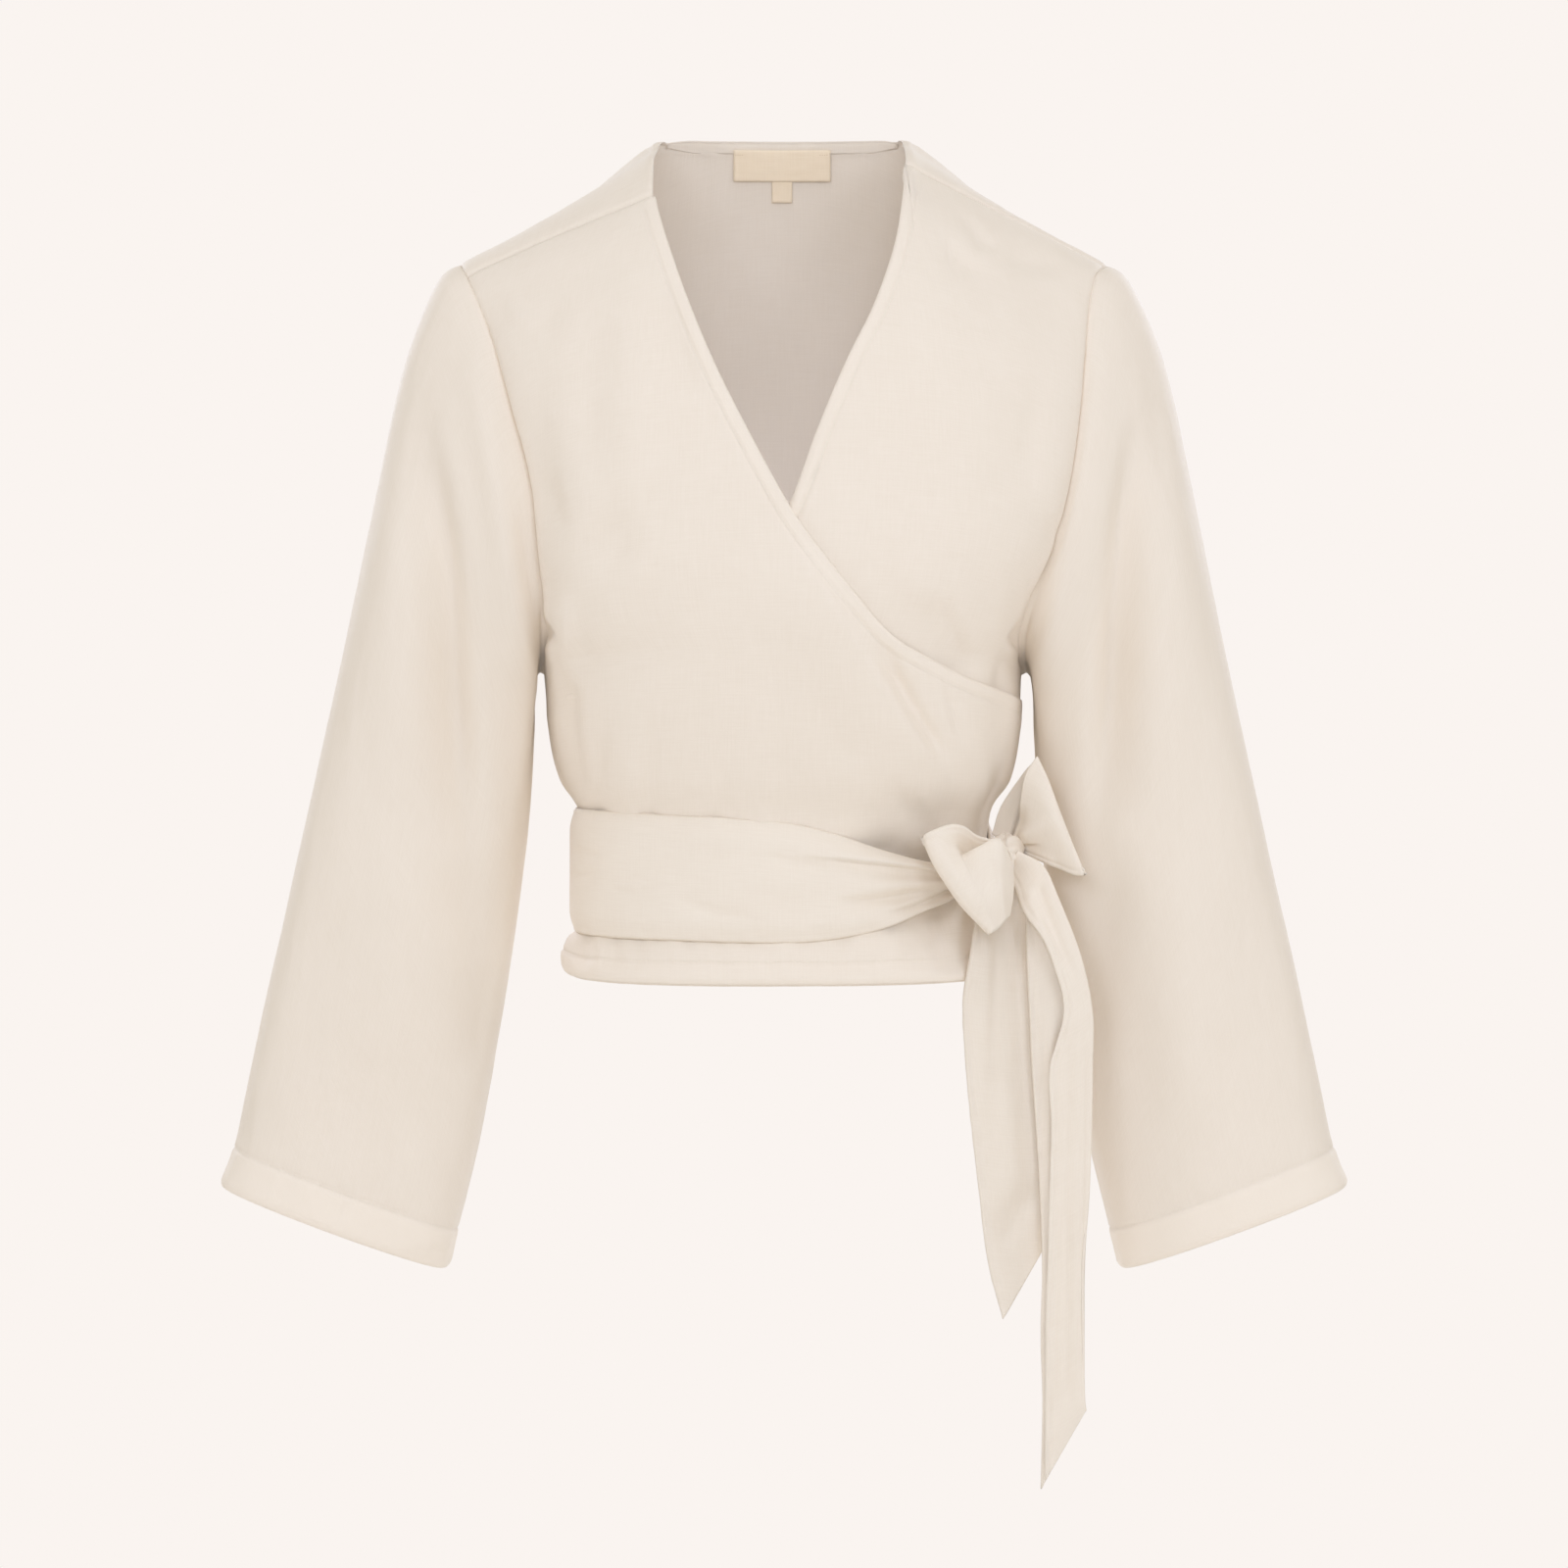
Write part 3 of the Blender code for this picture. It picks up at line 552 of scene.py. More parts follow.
def leaning(normal, side, face, v, column, from_seam):
    """Normals that lean at the armhole towards the sleeve's, so that both borders turn in together."""
    lean = np.where((v > 1)[:, None], armhole_normal(side, face, v), normal[:, column])
    own = smooth(0.010, 0, from_seam)[..., None]
    return unit(normal * (1 - own) + lean[:, None] * own)


def sleeve_point(side, ring, angle):
    """Points of a sleeve. ring counts the rows of its table, and angle is 0 at the shoulder."""
    ring, angle = np.broadcast_arrays(np.asarray(ring, float), np.asarray(angle, float))
    turn = (angle + math.pi) % (2 * math.pi) - math.pi
    front_v, back_v = 2 - np.maximum(turn, 0) / math.pi, 2 + np.minimum(turn, 0) / math.pi
    hole = np.where(
        (turn > 0)[..., None],
        torso("front", side + 0 * turn, front_v),
        torso("back", side + 0 * turn, back_v),
    )

    def oval(row):
        along = (1 - np.cos(turn)) / 2
        deep = np.where(turn > 0, -row["front"], row["back"])
        x = side * (row["outer_x"] + (row["inner_x"] - row["outer_x"]) * along)
        z = row["outer_z"] + (row["inner_z"] - row["outer_z"]) * along
        return np.stack([x, row["mid_y"] + deep * np.abs(np.sin(turn)) ** SLEEVE_FULLNESS, z], -1)

    row, first = read(SLEEVE, "ring", ring), read(SLEEVE, "ring", 0 * ring)
    return oval(row) + row["keep"][..., None] * (hole - oval(first))


def fan(side, edge):
    """The grid of a front as s and v, its columns fanning out from TIE_V to its top boundary.

    Also how far along that boundary each column ends, and how far along the neck's corner is.
    """
    def beyond(s, v):
        point = torso("front", s, v)
        return side * (read(edge, "z", point[..., 2])["x"] - point[..., 0]) > 0

    seam_length = float(crossing(lambda d: beyond(side * (1 - d), TOP_V + 0 * d), [0.0], [2.0])[0])
    shoulder_end = side * (1 - seam_length)
    tops = np.concatenate([
        np.linspace(side, shoulder_end, SHOULDER_POINTS),
        shoulder_end + (-side - shoulder_end) * np.linspace(0, 1, 500)[1:] ** 1.5,
    ])
    ends = crossing(lambda v: beyond(tops, v), TIE_V + 0 * tops, TOP_V + 0 * tops)
    rim = torso("front", tops, ends)
    run = walk(rim)
    corner = run[SHOULDER_POINTS - 1]
    near = shares(corner, (True, True), CELL) * corner
    far = corner + shares(run[-1] - corner, (True, True), CELL)[1:] * (run[-1] - corner)
    at = np.concatenate([near, far])
    top, end = np.interp(at, run, tops), np.interp(at, run, ends)
    foot = side * (1 - 2 * at / run[-1])

    fine = np.linspace(0, 1, 241)[:, None]
    s, v = foot + (top - foot) * fine, TIE_V + (end - TIE_V) * fine
    points = torso("front", s, v)
    gap = edge_distance(points, rim)
    run_up = walk(points)
    shape = []
    rest = int(round(run_up[-1].max() / CELL))
    for c in range(len(at)):
        # TOP_ROWS from the boundary down, closer together in a short column, and even rows below.
        away = np.maximum.accumulate(gap[::-1, c])
        wanted = TOP_ROWS * min(1, away[-1] / 0.045)
        share_top = 1 - np.interp(wanted, away, fine[:, 0])
        below = np.interp(share_top[-1], fine[:, 0], run_up[:, c])
        share_low = np.interp(np.linspace(0, below, rest + 1)[:-1], run_up[:, c], fine[:, 0])
        shape.append(np.concatenate([share_low, share_top[::-1]]))
    shape = np.array(shape).T
    s, v = foot + (top - foot) * shape, TIE_V + (end - TIE_V) * shape

    drop = np.interp(TIE_V, LOWER["v"], LOWER["z_side"]) - LOWER["z_side"][0]
    low = np.concatenate([HEM_ROWS, np.linspace(HEM_ROWS[-1], drop, int(drop / CELL))[1:-1]])
    low_v = np.interp(low + LOWER["z_side"][0], LOWER["z_side"], LOWER["v"])
    low_s = np.broadcast_to(foot, (len(low), len(foot)))
    s = np.concatenate([low_s, s])
    v = np.concatenate([np.broadcast_to(low_v[:, None], low_s.shape), v])
    return s, v, at, corner


def cloth_uv(face, s, v):
    """Places on the flat cloth, in metres, for the weave."""
    levels = np.linspace(0, 2, 41)
    sweep = np.linspace(0, 1, 25)[:, None]
    girth = walk(torso(face, sweep, levels[None, :]))[-1]
    rise = walk(torso(face, 0.4 + 0 * levels, levels))
    return np.stack([s * np.interp(v, levels, girth), np.interp(v, levels, rise)], -1)


def edge_distance(points, rim):
    """The distance from each point of a grid to a line of points."""
    found = np.full(points.shape[:-1], 1.0)
    for first in range(0, len(rim), 16):
        part = rim[first:first + 16]
        found = np.minimum(found, np.linalg.norm(points[:, :, None] - part, axis=-1).min(-1))
    return found


def panel_height(face, height, s, x, z, seed):
    """A panel's folds, its small unevenness and its hem's gathers, pressed flat under the tie."""
    height = height * FOLD_DEPTH + drape(x, z, seed)
    height += folds(HEM_GATHERS, x if face == "front" else -x, z) * smooth(-0.505, -0.490, z)
    return height * (1 - 0.8 * under_tie(face, s, z))


def panel(name, face, points, normal, top, s, v, double, keep, order, finish):
    """A body panel, with its hem turned up, the rows of top turned in and allowances at its sides.

    Also gives its points and normals without the allowances, and the line its hem stitches follow."""
    hem = [points[0] - normal[0] * TURN / 2 + unit(points[0] - points[1]) * TURN / 2]
    hem += [points[k] - normal[k] * TURN for k in TURNED_ROWS]
    points = np.concatenate([hem[::-1], points, top])
    normal = np.concatenate([[normal[0]] * len(hem), normal, [normal[-1]] * len(top)])
    near, far = (np.stack([points[:, c] - normal[:, c] * d for d in ALLOWANCE], 1) for c in (0, -1))
    whole = np.concatenate([near[:, ::-1], points, far], 1)[:, ::order]
    pad = ((len(hem), len(top)), (len(ALLOWANCE), len(ALLOWANCE)))
    s, v, double, keep = (np.pad(a, pad, mode="edge")[:, ::order] for a in (s, v, double, keep))
    uv = cloth_uv(face, s, v)
    made = grid_piece(name, whole, finish, keep=keep, uv=uv, doubled=DOUBLED_BODY * double)
    row = len(hem) + HEM_STITCH
    return made, points, normal, (points[row], normal[row])


def level_neck(points):
    """Rounds the corners beside the neck down to the height of the back neck's edge."""
    points = points.copy()
    away = np.abs(points[..., 0])
    above = np.maximum(points[..., 2] - (BACK_NECK_Z - NECK_ROUND), 0)
    rounded = NECK_ROUND * (1 - np.exp(-above / NECK_ROUND))
    points[..., 2] -= (above - rounded) * smooth(0.058, 0.074, away) * smooth(0.125, 0.100, away)
    return points


def front(name, side, edge, fold_rows, finish):
    """A front, and the lines that the stitches of its wrap edge and of its hem follow."""
    s, v, at, corner = fan(side, edge)
    s = np.where(np.abs(s) > 1 - 1e-9, np.sign(s) * SEAM_S, s)
    far_share = (1 - side * s) / 2
    normal = outward("front", s, v)
    # Away from its own seam the over front stands out more and more, and the under one lies in.
    # Near the far seam the over front closes in again.
    step = FRONT_STEP * (1 - 0.66 * smooth(0.72, 0.92, far_share)) if side < 0 else FRONT_STEP
    points = torso("front", s, v) - normal * (side * far_share * step)[..., None]
    x, z = points[..., 0], points[..., 2]
    up, seam_own = walk(points), walk(points, 1)
    seam_far = seam_own[:, -1:] - seam_own
    normal = leaning(normal, side, "front", v[:, 0], 0, seam_own)
    on_edge = at > corner + 1e-6
    to_edge = edge_distance(points, points[-1, on_edge])
    to_shoulder = edge_distance(points, points[-1, ~on_edge])

    height = folds(fold_rows, x, z)
    if side > 0:
        # Where the over front covers it, it takes that one's folds, and lies deeper at the far seam.
        covered = smooth(0.0, 0.012, read(OVER_EDGE, "z", z)["x"] - x)
        held = smooth(0, 0.020, seam_far) * 0.8 + 0.2
        height = height * (1 - covered) + folds(OVER_FOLDS, x, z) * covered * held
        points = points - normal * (0.0012 * covered * smooth(0.035, 0.010, seam_far))[..., None]
    height = panel_height("front", height, s, x, z, 11 + side)
    free = smooth(0, 0.020, seam_own) * smooth(0, 0.012, to_edge) * smooth(0, 0.012, to_shoulder)
    height *= free * 0.8 + 0.2
    height += sunk(seam_own, up, 21 + side) + sunk(seam_far, up, 23 + side)
    height += armhole_fill(v, seam_own) + blouson(s, z)
    height += sunk(to_shoulder, x, 25 + side)
    near_seam = 1 - 0.8 * smooth(0.76, 0.92, far_share)
    height += near_seam * stitched(to_edge, TOP_ROWS[EDGE_STITCH], up - up[-1], 27 + side)
    height += stitched(up, HEM_ROWS[HEM_STITCH], x, 29 + side)
    points = level_neck(points + normal * height[..., None])

    # Turned in along the top: a facing at the wrap edge, an allowance at the shoulder.
    faced = smooth(corner - 0.002, corner + 0.006, at)[:, None]
    rise = unit(points[-1] - points[-2])
    top = [points[-1] - normal[-1] * TURN / 2 + rise * TURN / 2 * faced]
    for k in TURNED_ROWS:
        row = points[-1 - k] - normal[-1 - k] * TURN
        depth = ALLOWANCE[min(k // 2, 2)] + 0.0001 * k
        top.append(row * faced + (points[-1] - normal[-1] * depth) * (1 - faced))
    double = np.maximum(lined(to_edge, TOP_ROWS[EDGE_STITCH]), lined(up, HEM_ROWS[HEM_STITCH]))
    made, points, normal, hem_line = panel(
        name, "front", points, normal, top, s, v, double, np.ones_like(s, bool), -side, finish
    )
    row = -1 - len(top) - EDGE_STITCH
    return made, (points[row, on_edge], normal[row, on_edge]), hem_line


def back(finish):
    """The back, and the line that its hem stitches follow."""
    corner_v = 1 + (1 - BACK_NECK["q"][-1]) * 2 * (RIDGE_V - 1)

    def neck_s(v, side):
        half = read(BACK_NECK, "q", back_q(v - 1, SEAM_Q[side]))["x_right" if side < 0 else "x_left"]

        def past(s):
            return np.abs(torso("back", side * s, v)[..., 0]) > half

        return side * crossing(past, 0 * v, 0 * v + 1)

    def neck_v(s):
        def above(v):
            return torso("back", s, v)[..., 2] > BACK_NECK_Z

        return crossing(above, 0 * s + 1.5, 0 * s + corner_v)

    dense = np.linspace(0, TOP_V, 801)
    run = walk(torso("back", 0.75 + 0 * dense, dense))
    at_corner = np.interp(corner_v, dense, run)
    middle_run = np.linspace(HEM_ROWS[-1], at_corner - TOP_ROWS[-1], int(at_corner / CELL))
    over = at_corner + shares(run[-1] - at_corner, (False, True), CELL)[1:] * (run[-1] - at_corner)
    wanted = np.concatenate([HEM_ROWS[:-1], middle_run, at_corner - TOP_ROWS[::-1][1:], over])
    v = np.interp(wanted, run, dense)
    corner_row = int(np.argmin(np.abs(v - corner_v)))
    v[corner_row] = corner_v
    corners = {side: float(neck_s(np.array([corner_v]), side)[0]) for side in (-1, 1)}
    # The grid has a block on either side of the neck, and a middle that ends at the neck's edge.
    block = shares(0.125, (True, True), CELL)
    centre = np.linspace(corners[-1], corners[1], 38)[1:-1]

    def beside_neck(side, across):
        end = np.where(v > corner_v, neck_s(np.maximum(v, corner_v), side), corners[side])
        return side * SEAM_S + (end[:, None] - side * SEAM_S) * across

    climb = np.clip((v - 1) / (corner_v - 1), 0, 1)[:, None]
    middle_v = np.minimum(v, 1)[:, None] + (neck_v(centre) - 1) * climb
    middle_s = np.broadcast_to(centre, (len(v), len(centre)))
    s = np.concatenate([beside_neck(-1, block), middle_s, beside_neck(1, block[::-1])], 1)
    wide_v = np.broadcast_to(v[:, None], (len(v), len(block)))
    level = np.concatenate([wide_v, middle_v, wide_v], 1)
    keep = np.ones(s.shape, bool)
    keep[corner_row + 1:, len(block):-len(block)] = False

    points, normal = torso("back", s, level), outward("back", s, level)
    x, z = points[..., 0], points[..., 2]
    up, across = walk(points), walk(points, 1)
    sides = {-1: across, 1: across[:, -1:] - across}
    for side, column in ((-1, 0), (1, -1)):
        normal = leaning(normal, side, "back", v, column, sides[side])
    from_side = np.minimum(sides[-1], sides[1])
    to_neck = np.minimum.reduce([
        edge_distance(points, points[corner_row, len(block) - 1:1 - len(block)]),
        edge_distance(points, points[corner_row:, len(block) - 1]),
        edge_distance(points, points[corner_row:, -len(block)]),
    ])
    to_shoulder = edge_distance(points, points[-1, keep[-1]])

    height = panel_height("back", folds(BACK_FOLDS, x, z), s, x, z, 14)
    height *= smooth(0, 0.020, from_side) * smooth(0, 0.012, to_neck)
    height += sunk(sides[-1], up, 31) + sunk(sides[1], up, 33) + sunk(to_shoulder, x, 35)
    height += armhole_fill(level, from_side) + blouson(s, z)
    height += stitched(to_neck, NECK_STITCH, x * 1.3, 37)
    height += stitched(up, HEM_ROWS[HEM_STITCH], x, 39)
    points = level_neck(points + normal * height[..., None])
    top = [points[-1] - normal[-1] * d for d in ALLOWANCE]
    made, points, normal, hem_line = panel(
        "back_cloth", "back", points, normal, top, s, level, lined(up, HEM_ROWS[HEM_STITCH]), keep, -1,
        finish,
    )
    return made, hem_line


# The folds of the sleeves as seen from the front, with x away from the body on both sides.
SLEEVE_FOLDS = {
    -1: table(
        FOLD_COLUMNS,
        (188, -110, 160, -430, 12, 12, 12, 4.8, 0.25, 0.6),
        (222, -150, 190, -470, 9.5, 20, 10, -8.8, 0.3, 0.55),
        (218, -130, 226, -250, 1, 8, 12, -1, 0.3, 0.7),
        (238, -190, 234, -400, 4, 18, 20, 1.2, 0.3, 0.7),
        (159, -210, 149, -290, 1, 4, 6, -2.6, 0.4, 0.7),
        (198, -420, 180, -560, 4, 16, 18, -3, 0.3, 0.8),
        (230, -400, 246, -600, 4, 18, 22, 2, 0.3, 0.7),
        (272, -440, 296, -580, 3, 16, 18, -1.8, 0.3, 0.7),
        (236, -530, 296, -610, 3, 14, 18, -1.2, 0.3, 0.7),
        # a pleat caught in the cuff's hem
        (263.4, -620, 269, -644, 0, 1.4, 4, -1.2, 0.3, 0.6),
        (222, -590, 216, -660, 1, 10, 12, 1.4, 0.3, 1),
    ),
    1: table(
        FOLD_COLUMNS,
        (188, -106, 162, -410, 11, 11, 12, 4.6, 0.25, 0.6),
        (219, -140, 190, -440, 7, 18, 10, -8.6, 0.3, 0.55),
        (224, -110, 236, -210, 1, 6, 9, -0.9, 0.3, 0.7),
        (240, -200, 232, -410, 4, 18, 20, 1.2, 0.3, 0.7),
        (160, -205, 150, -286, 1, 4, 6, -2.8, 0.4, 0.7),
        (202, -410, 184, -550, 4, 15, 18, -2.8, 0.3, 0.8),
        (234, -420, 250, -600, 4, 18, 22, 1.8, 0.3, 0.7),
        (276, -430, 298, -570, 3, 16, 18, -1.8, 0.3, 0.7),
        (250, -520, 296, -610, -3, 14, 18, -1.1, 0.3, 0.7),
    ),
}
SLEEVE_BACK_FOLDS = table(
    FOLD_COLUMNS,
    (190, -100, 164, -260, 3, 8, 12, 2.6, 0.2, 0.8),
    (208, -130, 182, -330, 5, 9, 14, -4.4, 0.3, 0.7),
    (228, -150, 232, -360, 4, 12, 18, -2.6, 0.3, 0.6),
    (246, -330, 262, -520, 3, 14, 20, 2.6, 0.3, 0.6),
    (196, -380, 192, -560, 4, 14, 18, -3.4, 0.3, 0.7),
    (286, -450, 304, -590, 3, 14, 16, -2.2, 0.3, 0.7),
    (168, -252, 200, -300, -3, 6, 10, -2.4, 0.1, 0.5),
)


def sleeve(name, side, finish):
    """A sleeve, and the line that its cuff's stitches follow."""
    dense = np.linspace(-math.pi, math.pi, 721)
    around = walk(sleeve_point(side, 0.0, dense))
    columns = 2 * int(around[-1] / CELL / 2)
    angle = np.interp(np.linspace(0, around[-1], columns + 1)[:-1], around, dense)[None, :]
    rings = np.linspace(0, 12, 481)
    down = walk(sleeve_point(side, rings[:, None], angle)).mean(1)
    head = np.array([0.1, 1.2, 2.6, 4.4, 6.6, 9.4]) / 1000
    body = np.linspace(head[-1], down[-1] - CUFF_ROWS[-1], int(down[-1] / CELL))
    wanted = np.concatenate([head[:-1], body, down[-1] - CUFF_ROWS[::-1][1:]])
    ring = np.interp(wanted, down, rings)[:, None]
    points = sleeve_point(side, ring, angle)
    along = sleeve_point(side, ring + 0.04, angle) - sleeve_point(side, np.maximum(ring - 0.04, 0), angle)
    end = ring[:, 0] > 11.9
    along[end] = (points - sleeve_point(side, ring - 0.08, angle))[end]
    turn = sleeve_point(side, ring, angle + 0.02) - sleeve_point(side, ring, angle - 0.02)
    normal = unit(np.cross(turn, along)) * side

    from_seam = walk(points)
    v = 2 - np.abs(angle[0]) / math.pi
    in_front = (angle[0] > 0)[:, None]
    lean = np.where(in_front, armhole_normal(side, "front", v), armhole_normal(side, "back", v))
    own = smooth(0.012, 0, from_seam)[..., None]
    normal = unit(normal * (1 - own) + lean[None] * own)

    x, z = points[..., 0] * side, points[..., 2]
    facing = np.sin(angle)
    height = folds(SLEEVE_FOLDS[side], x, z) * smooth(0.05, 0.5, facing)
    height += folds(SLEEVE_BACK_FOLDS, x, z) * smooth(-0.05, -0.5, facing)
    height = height * FOLD_DEPTH + drape(x + points[..., 1] * 2, z, 41 + side)
    across = walk(points, 1)
    girth = across[:, -1:] + across[:, 1:2]
    to_inner = np.minimum(across, girth - across)
    height *= smooth(0, 0.030, from_seam) * 0.8 + 0.2
    height += sunk(from_seam, across, 43 + side) + armhole_fill(v[None, :], from_seam)
    height += 0.6 * sunk(to_inner, from_seam, 45 + side) * smooth(0.004, 0.012, from_seam)
    to_hem = from_seam[-1:] - from_seam
    height += stitched(to_hem, CUFF_ROWS[CUFF_STITCH], across, 47 + side)
    points = points + normal * height[..., None]

    low = [points[-1] - normal[-1] * TURN / 2 + unit(points[-1] - points[-2]) * TURN / 2]
    low += [points[-1 - k] - normal[-1 - k] * TURN for k in (0, 2, 4, 6, 8, 10)]
    top = [points[0] - normal[0] * d for d in ALLOWANCE]
    points = np.concatenate([top[::-1], points, low])
    double = DOUBLED_CUFF * lined(to_hem, CUFF_ROWS[CUFF_STITCH])
    pad = ((len(top), len(low)), (0, 0))
    u, w, double = (np.pad(a, pad, mode="edge") for a in (across - girth / 2, -from_seam, double))
    points_made, uv, double = (a[:, ::-side] for a in (points, np.stack([u, w], -1), double))
    made = grid_piece(name, points_made, finish, closed=True, uv=uv, doubled=double)
    return made, (points[-1 - len(low) - CUFF_STITCH], normal[-1 - CUFF_STITCH])


TIE_FOLDS = table(
    FOLD_COLUMNS,
    # the pleat under the upper strand, and the ones that run into the knot
    (4, -422.5, 110, -434, -1, 7, 0.8, 4.4, 0.4, 1),
    (26, -451, 100, -440.5, 2, 2.5, 5, -3.6, 0.4, 1),
    (56, -460, 104, -444, 1, 2, 4, -5, 0.6, 1),
    (44, -442, 104, -439, 0, 3, 3, 2.4, 0.4, 1),
    (50, -469, 108, -448, 1, 3, 3, 2.8, 0.4, 1),
    # soft creases along its length
    (-68, -447, -12, -462, 2, 4, 6, -1.2, 0.3, 0.7),
    (-14, -422, 30, -430, 1.5, 3, 5, -1.2, 0.3, 0.7),
    (-104, -439, -79, -438, 3, 1.2, 2.5, 0.9, 0.3, 0.7),
    (-130, -418, -108, -425, 1, 3, 5, -1.2, 0.3, 0.6),
    (-128, -436, -112, -433, 1, 3, 4, -1, 0.3, 0.6),
    (-60, -413, 0, -418, 1, 5, 6, 0.6, 0.4, 0.6),
    (-40, -435, 30, -442, 1.5, 6, 7, 0.8, 0.4, 0.6),
)


def tie_point(turn, z, lift):
    """Points of the waist tie: turn in degrees round the waist, at height z."""
    turn = (turn + 180) % 360 - 180
    v = np.interp(z, LOWER["z_side"], LOWER["v"])
    front_s = np.clip(-turn / 90, -1, 1)
    back_s = np.where(turn > 0, -1, 1) * (2 - np.maximum(np.abs(turn), 90) / 90)
    in_front = (np.abs(turn) <= 90)[..., None]
    point = np.where(in_front, torso("front", front_s, v), torso("back", back_s, v))
    normal = np.where(in_front, outward("front", front_s, v), outward("back", back_s, v))
    point = point + normal * lift
    point[..., 2] = z
    return point, normal


def waist_tie(finish):
    """The run of the tie round the waist, and the line that the stitches of its edge follow."""
    dense = np.linspace(TIE_RUN["turn"][0], TIE_RUN["turn"][-1], 700)
    run = walk(tie_point(dense, -0.435 + 0 * dense, TIE_LIFT)[0])
    turn = np.interp(np.arange(0, run[-1], TIE_CELLS[1]), run, dense)[:, None]
    at = read(TIE_RUN, "turn", turn)
    share = shares(TIE_WIDTH, (True, True), TIE_CELLS[0])[None, :]
    low, low_normal = tie_point(turn + 0 * share, at["bottom"] + 0 * share, TIE_LIFT)
    high, high_normal = tie_point(turn + 0 * share, at["top"] + 0 * share, TIE_LIFT)
    points = low + (high - low) * share[..., None]
    normal = unit(low_normal + (high_normal - low_normal) * share[..., None])
    z = at["bottom"] + (at["top"] - at["bottom"]) * share
    along = np.interp(turn, dense, run)
    in_front = smooth(0.02, -0.02, points[..., 1])
    height = np.maximum(folds(TIE_FOLDS, points[..., 0], z), -0.0047) * in_front
    height += drape(along * 0.4, share * TIE_WIDTH * 2 + 0.5, 61)
    gather = 1 - np.clip((at["top"] - at["bottom"]) / TIE_WIDTH, 0, 1)
    pleats = np.sin(share * 15 + 0.8 * np.sin(along / 0.03))
    height += 0.0030 * gather * pleats * (1 - in_front * 0.6)
    from_edge = np.minimum(share, 1 - share) * TIE_WIDTH
    height += stitched(from_edge, TIE_STITCH, along, 63)
    height -= 0.0006 * bell(from_edge, 0.0012) + 0.0022 * smooth(0.012, 0, from_edge)
    points = points + normal * height[..., None]
    uv = np.stack(np.broadcast_arrays(along, share * TIE_WIDTH), -1)
    made = grid_piece("waist_tie_cloth", points, finish, TIE_SHELL, uv=uv)
    row = int(np.argmin(np.abs(share[0] * TIE_WIDTH - TIE_STITCH)))
    return made, [(points[:, row], normal[:, row])]


# The bow's middle. Its nets are measured from there: each row is a line across the band, from its
# top edge t by u, m and l to its bottom edge b.
BOW = np.array([0.130, -0.080, -0.430])
NET_COLUMNS = "tx ty tz ux uy uz mx my mz lx ly lz bx by bz"


def about_bow(columns, *rows):
    """A net measured from the bow's middle."""
    nets = table(columns, *rows)
    return {name: column + BOW["xyz".index(name[1])] for name, column in nets.items()}


LOOP_FRONT = about_bow(
    NET_COLUMNS,
    # from behind the roll beside the knot, round it and out over the pleat
    (1, 6, 9, 0.5, 6, 2, 0.5, 6, -7, 0, 6, -18, 0, 6, -27),
    (4.5, -6, 9.5, 6, -6, 2.5, 6, -6, -4.5, 6, -6, -16, 4, -6, -29),
    (-6.5, -3, 15, -4, 0, 10.5, -1.5, -17, 15, 0, -21, -9, 1.5, -16, -31),
    (-16, -8, 18.5, -13, -1, 7, -13, -19, 11.5, -4.5, -24, -12, -1, -18, -34),
    (-23, -13, 23.5, -22.5, -6, 8, -22.5, -18, 5, -11.5, -26, -16, -3.5, -20, -36.5),
    (-30.5, -17, 25, -29, -16, 13, -24.5, -21, 1.5, -15, -26, -17.5, -5.5, -21, -38),
    (-40, -20, 22.5, -36, -23, 10.5, -30, -25, -2, -20, -25, -20.5, -7, -22, -39),
    # the end of the loop, where it folds, and the way home behind
    (-46.5, -19, 19.5, -42, -22, 7, -35.5, -23, -5, -24, -23, -21.5, -8, -20, -39.5),
    (-47.5, -14, 17, -42.5, -16, 5, -35.5, -16, -7, -24, -16, -23.5, -8.5, -16, -40),
    (-40, -9, 20, -34, -8, 7, -27.5, -8, -4.5, -18, -8, -19.5, -6.5, -10, -36),
    (-19, -2, 18.5, -15.5, -2, 9.5, -12, -2, 0, -7.5, -1, -10.5, -2.5, 0, -22),
    (-4, 8, 12.5, -2.5, 8, 8, -1, 8, 2, 0, 9, -4, 1, 10, -9.5),
)
LOOP_BACK = about_bow(
    NET_COLUMNS,
    # from the knot out and up to the end of the loop
    (7, 32, 15, 9, 32, 13, 9.5, 31, 12, 11, 32, 9.5, 13, 32, 6.5),
    (10.5, 25, 27, 13, 25, 22.5, 16, 22, 18, 20.5, 24, 10, 23, 24, 3),
    (12, 18, 39.5, 17, 17, 33.5, 23.5, 16, 23.5, 31, 18, 9, 34.5, 18, -2),
    (14.5, 14, 54.5, 21, 13, 47, 31, 12, 29, 39, 14, 9, 43.5, 14, -5.5),
    (21, 14, 65, 27.5, 14, 52, 33.5, 14, 36, 41.5, 14, 15, 50, 14, -5.5),
    # folded, and home behind
    (20, 19, 62.5, 25, 19, 50, 31.5, 19, 35, 39.5, 19, 15, 46.5, 19, -4),
    (14, 27, 55.5, 17.5, 27, 42, 21.5, 27, 31, 27, 27, 16, 32, 27, 2),
    (1, 34, 36, 4.5, 34, 30, 9.5, 34, 22.5, 14.5, 34, 14.5, 17.5, 34, 9),
    (-4.5, 38, 19, -1, 38, 16, 2.5, 38, 13.5, 6, 38, 11, 9.5, 38, 9),
)
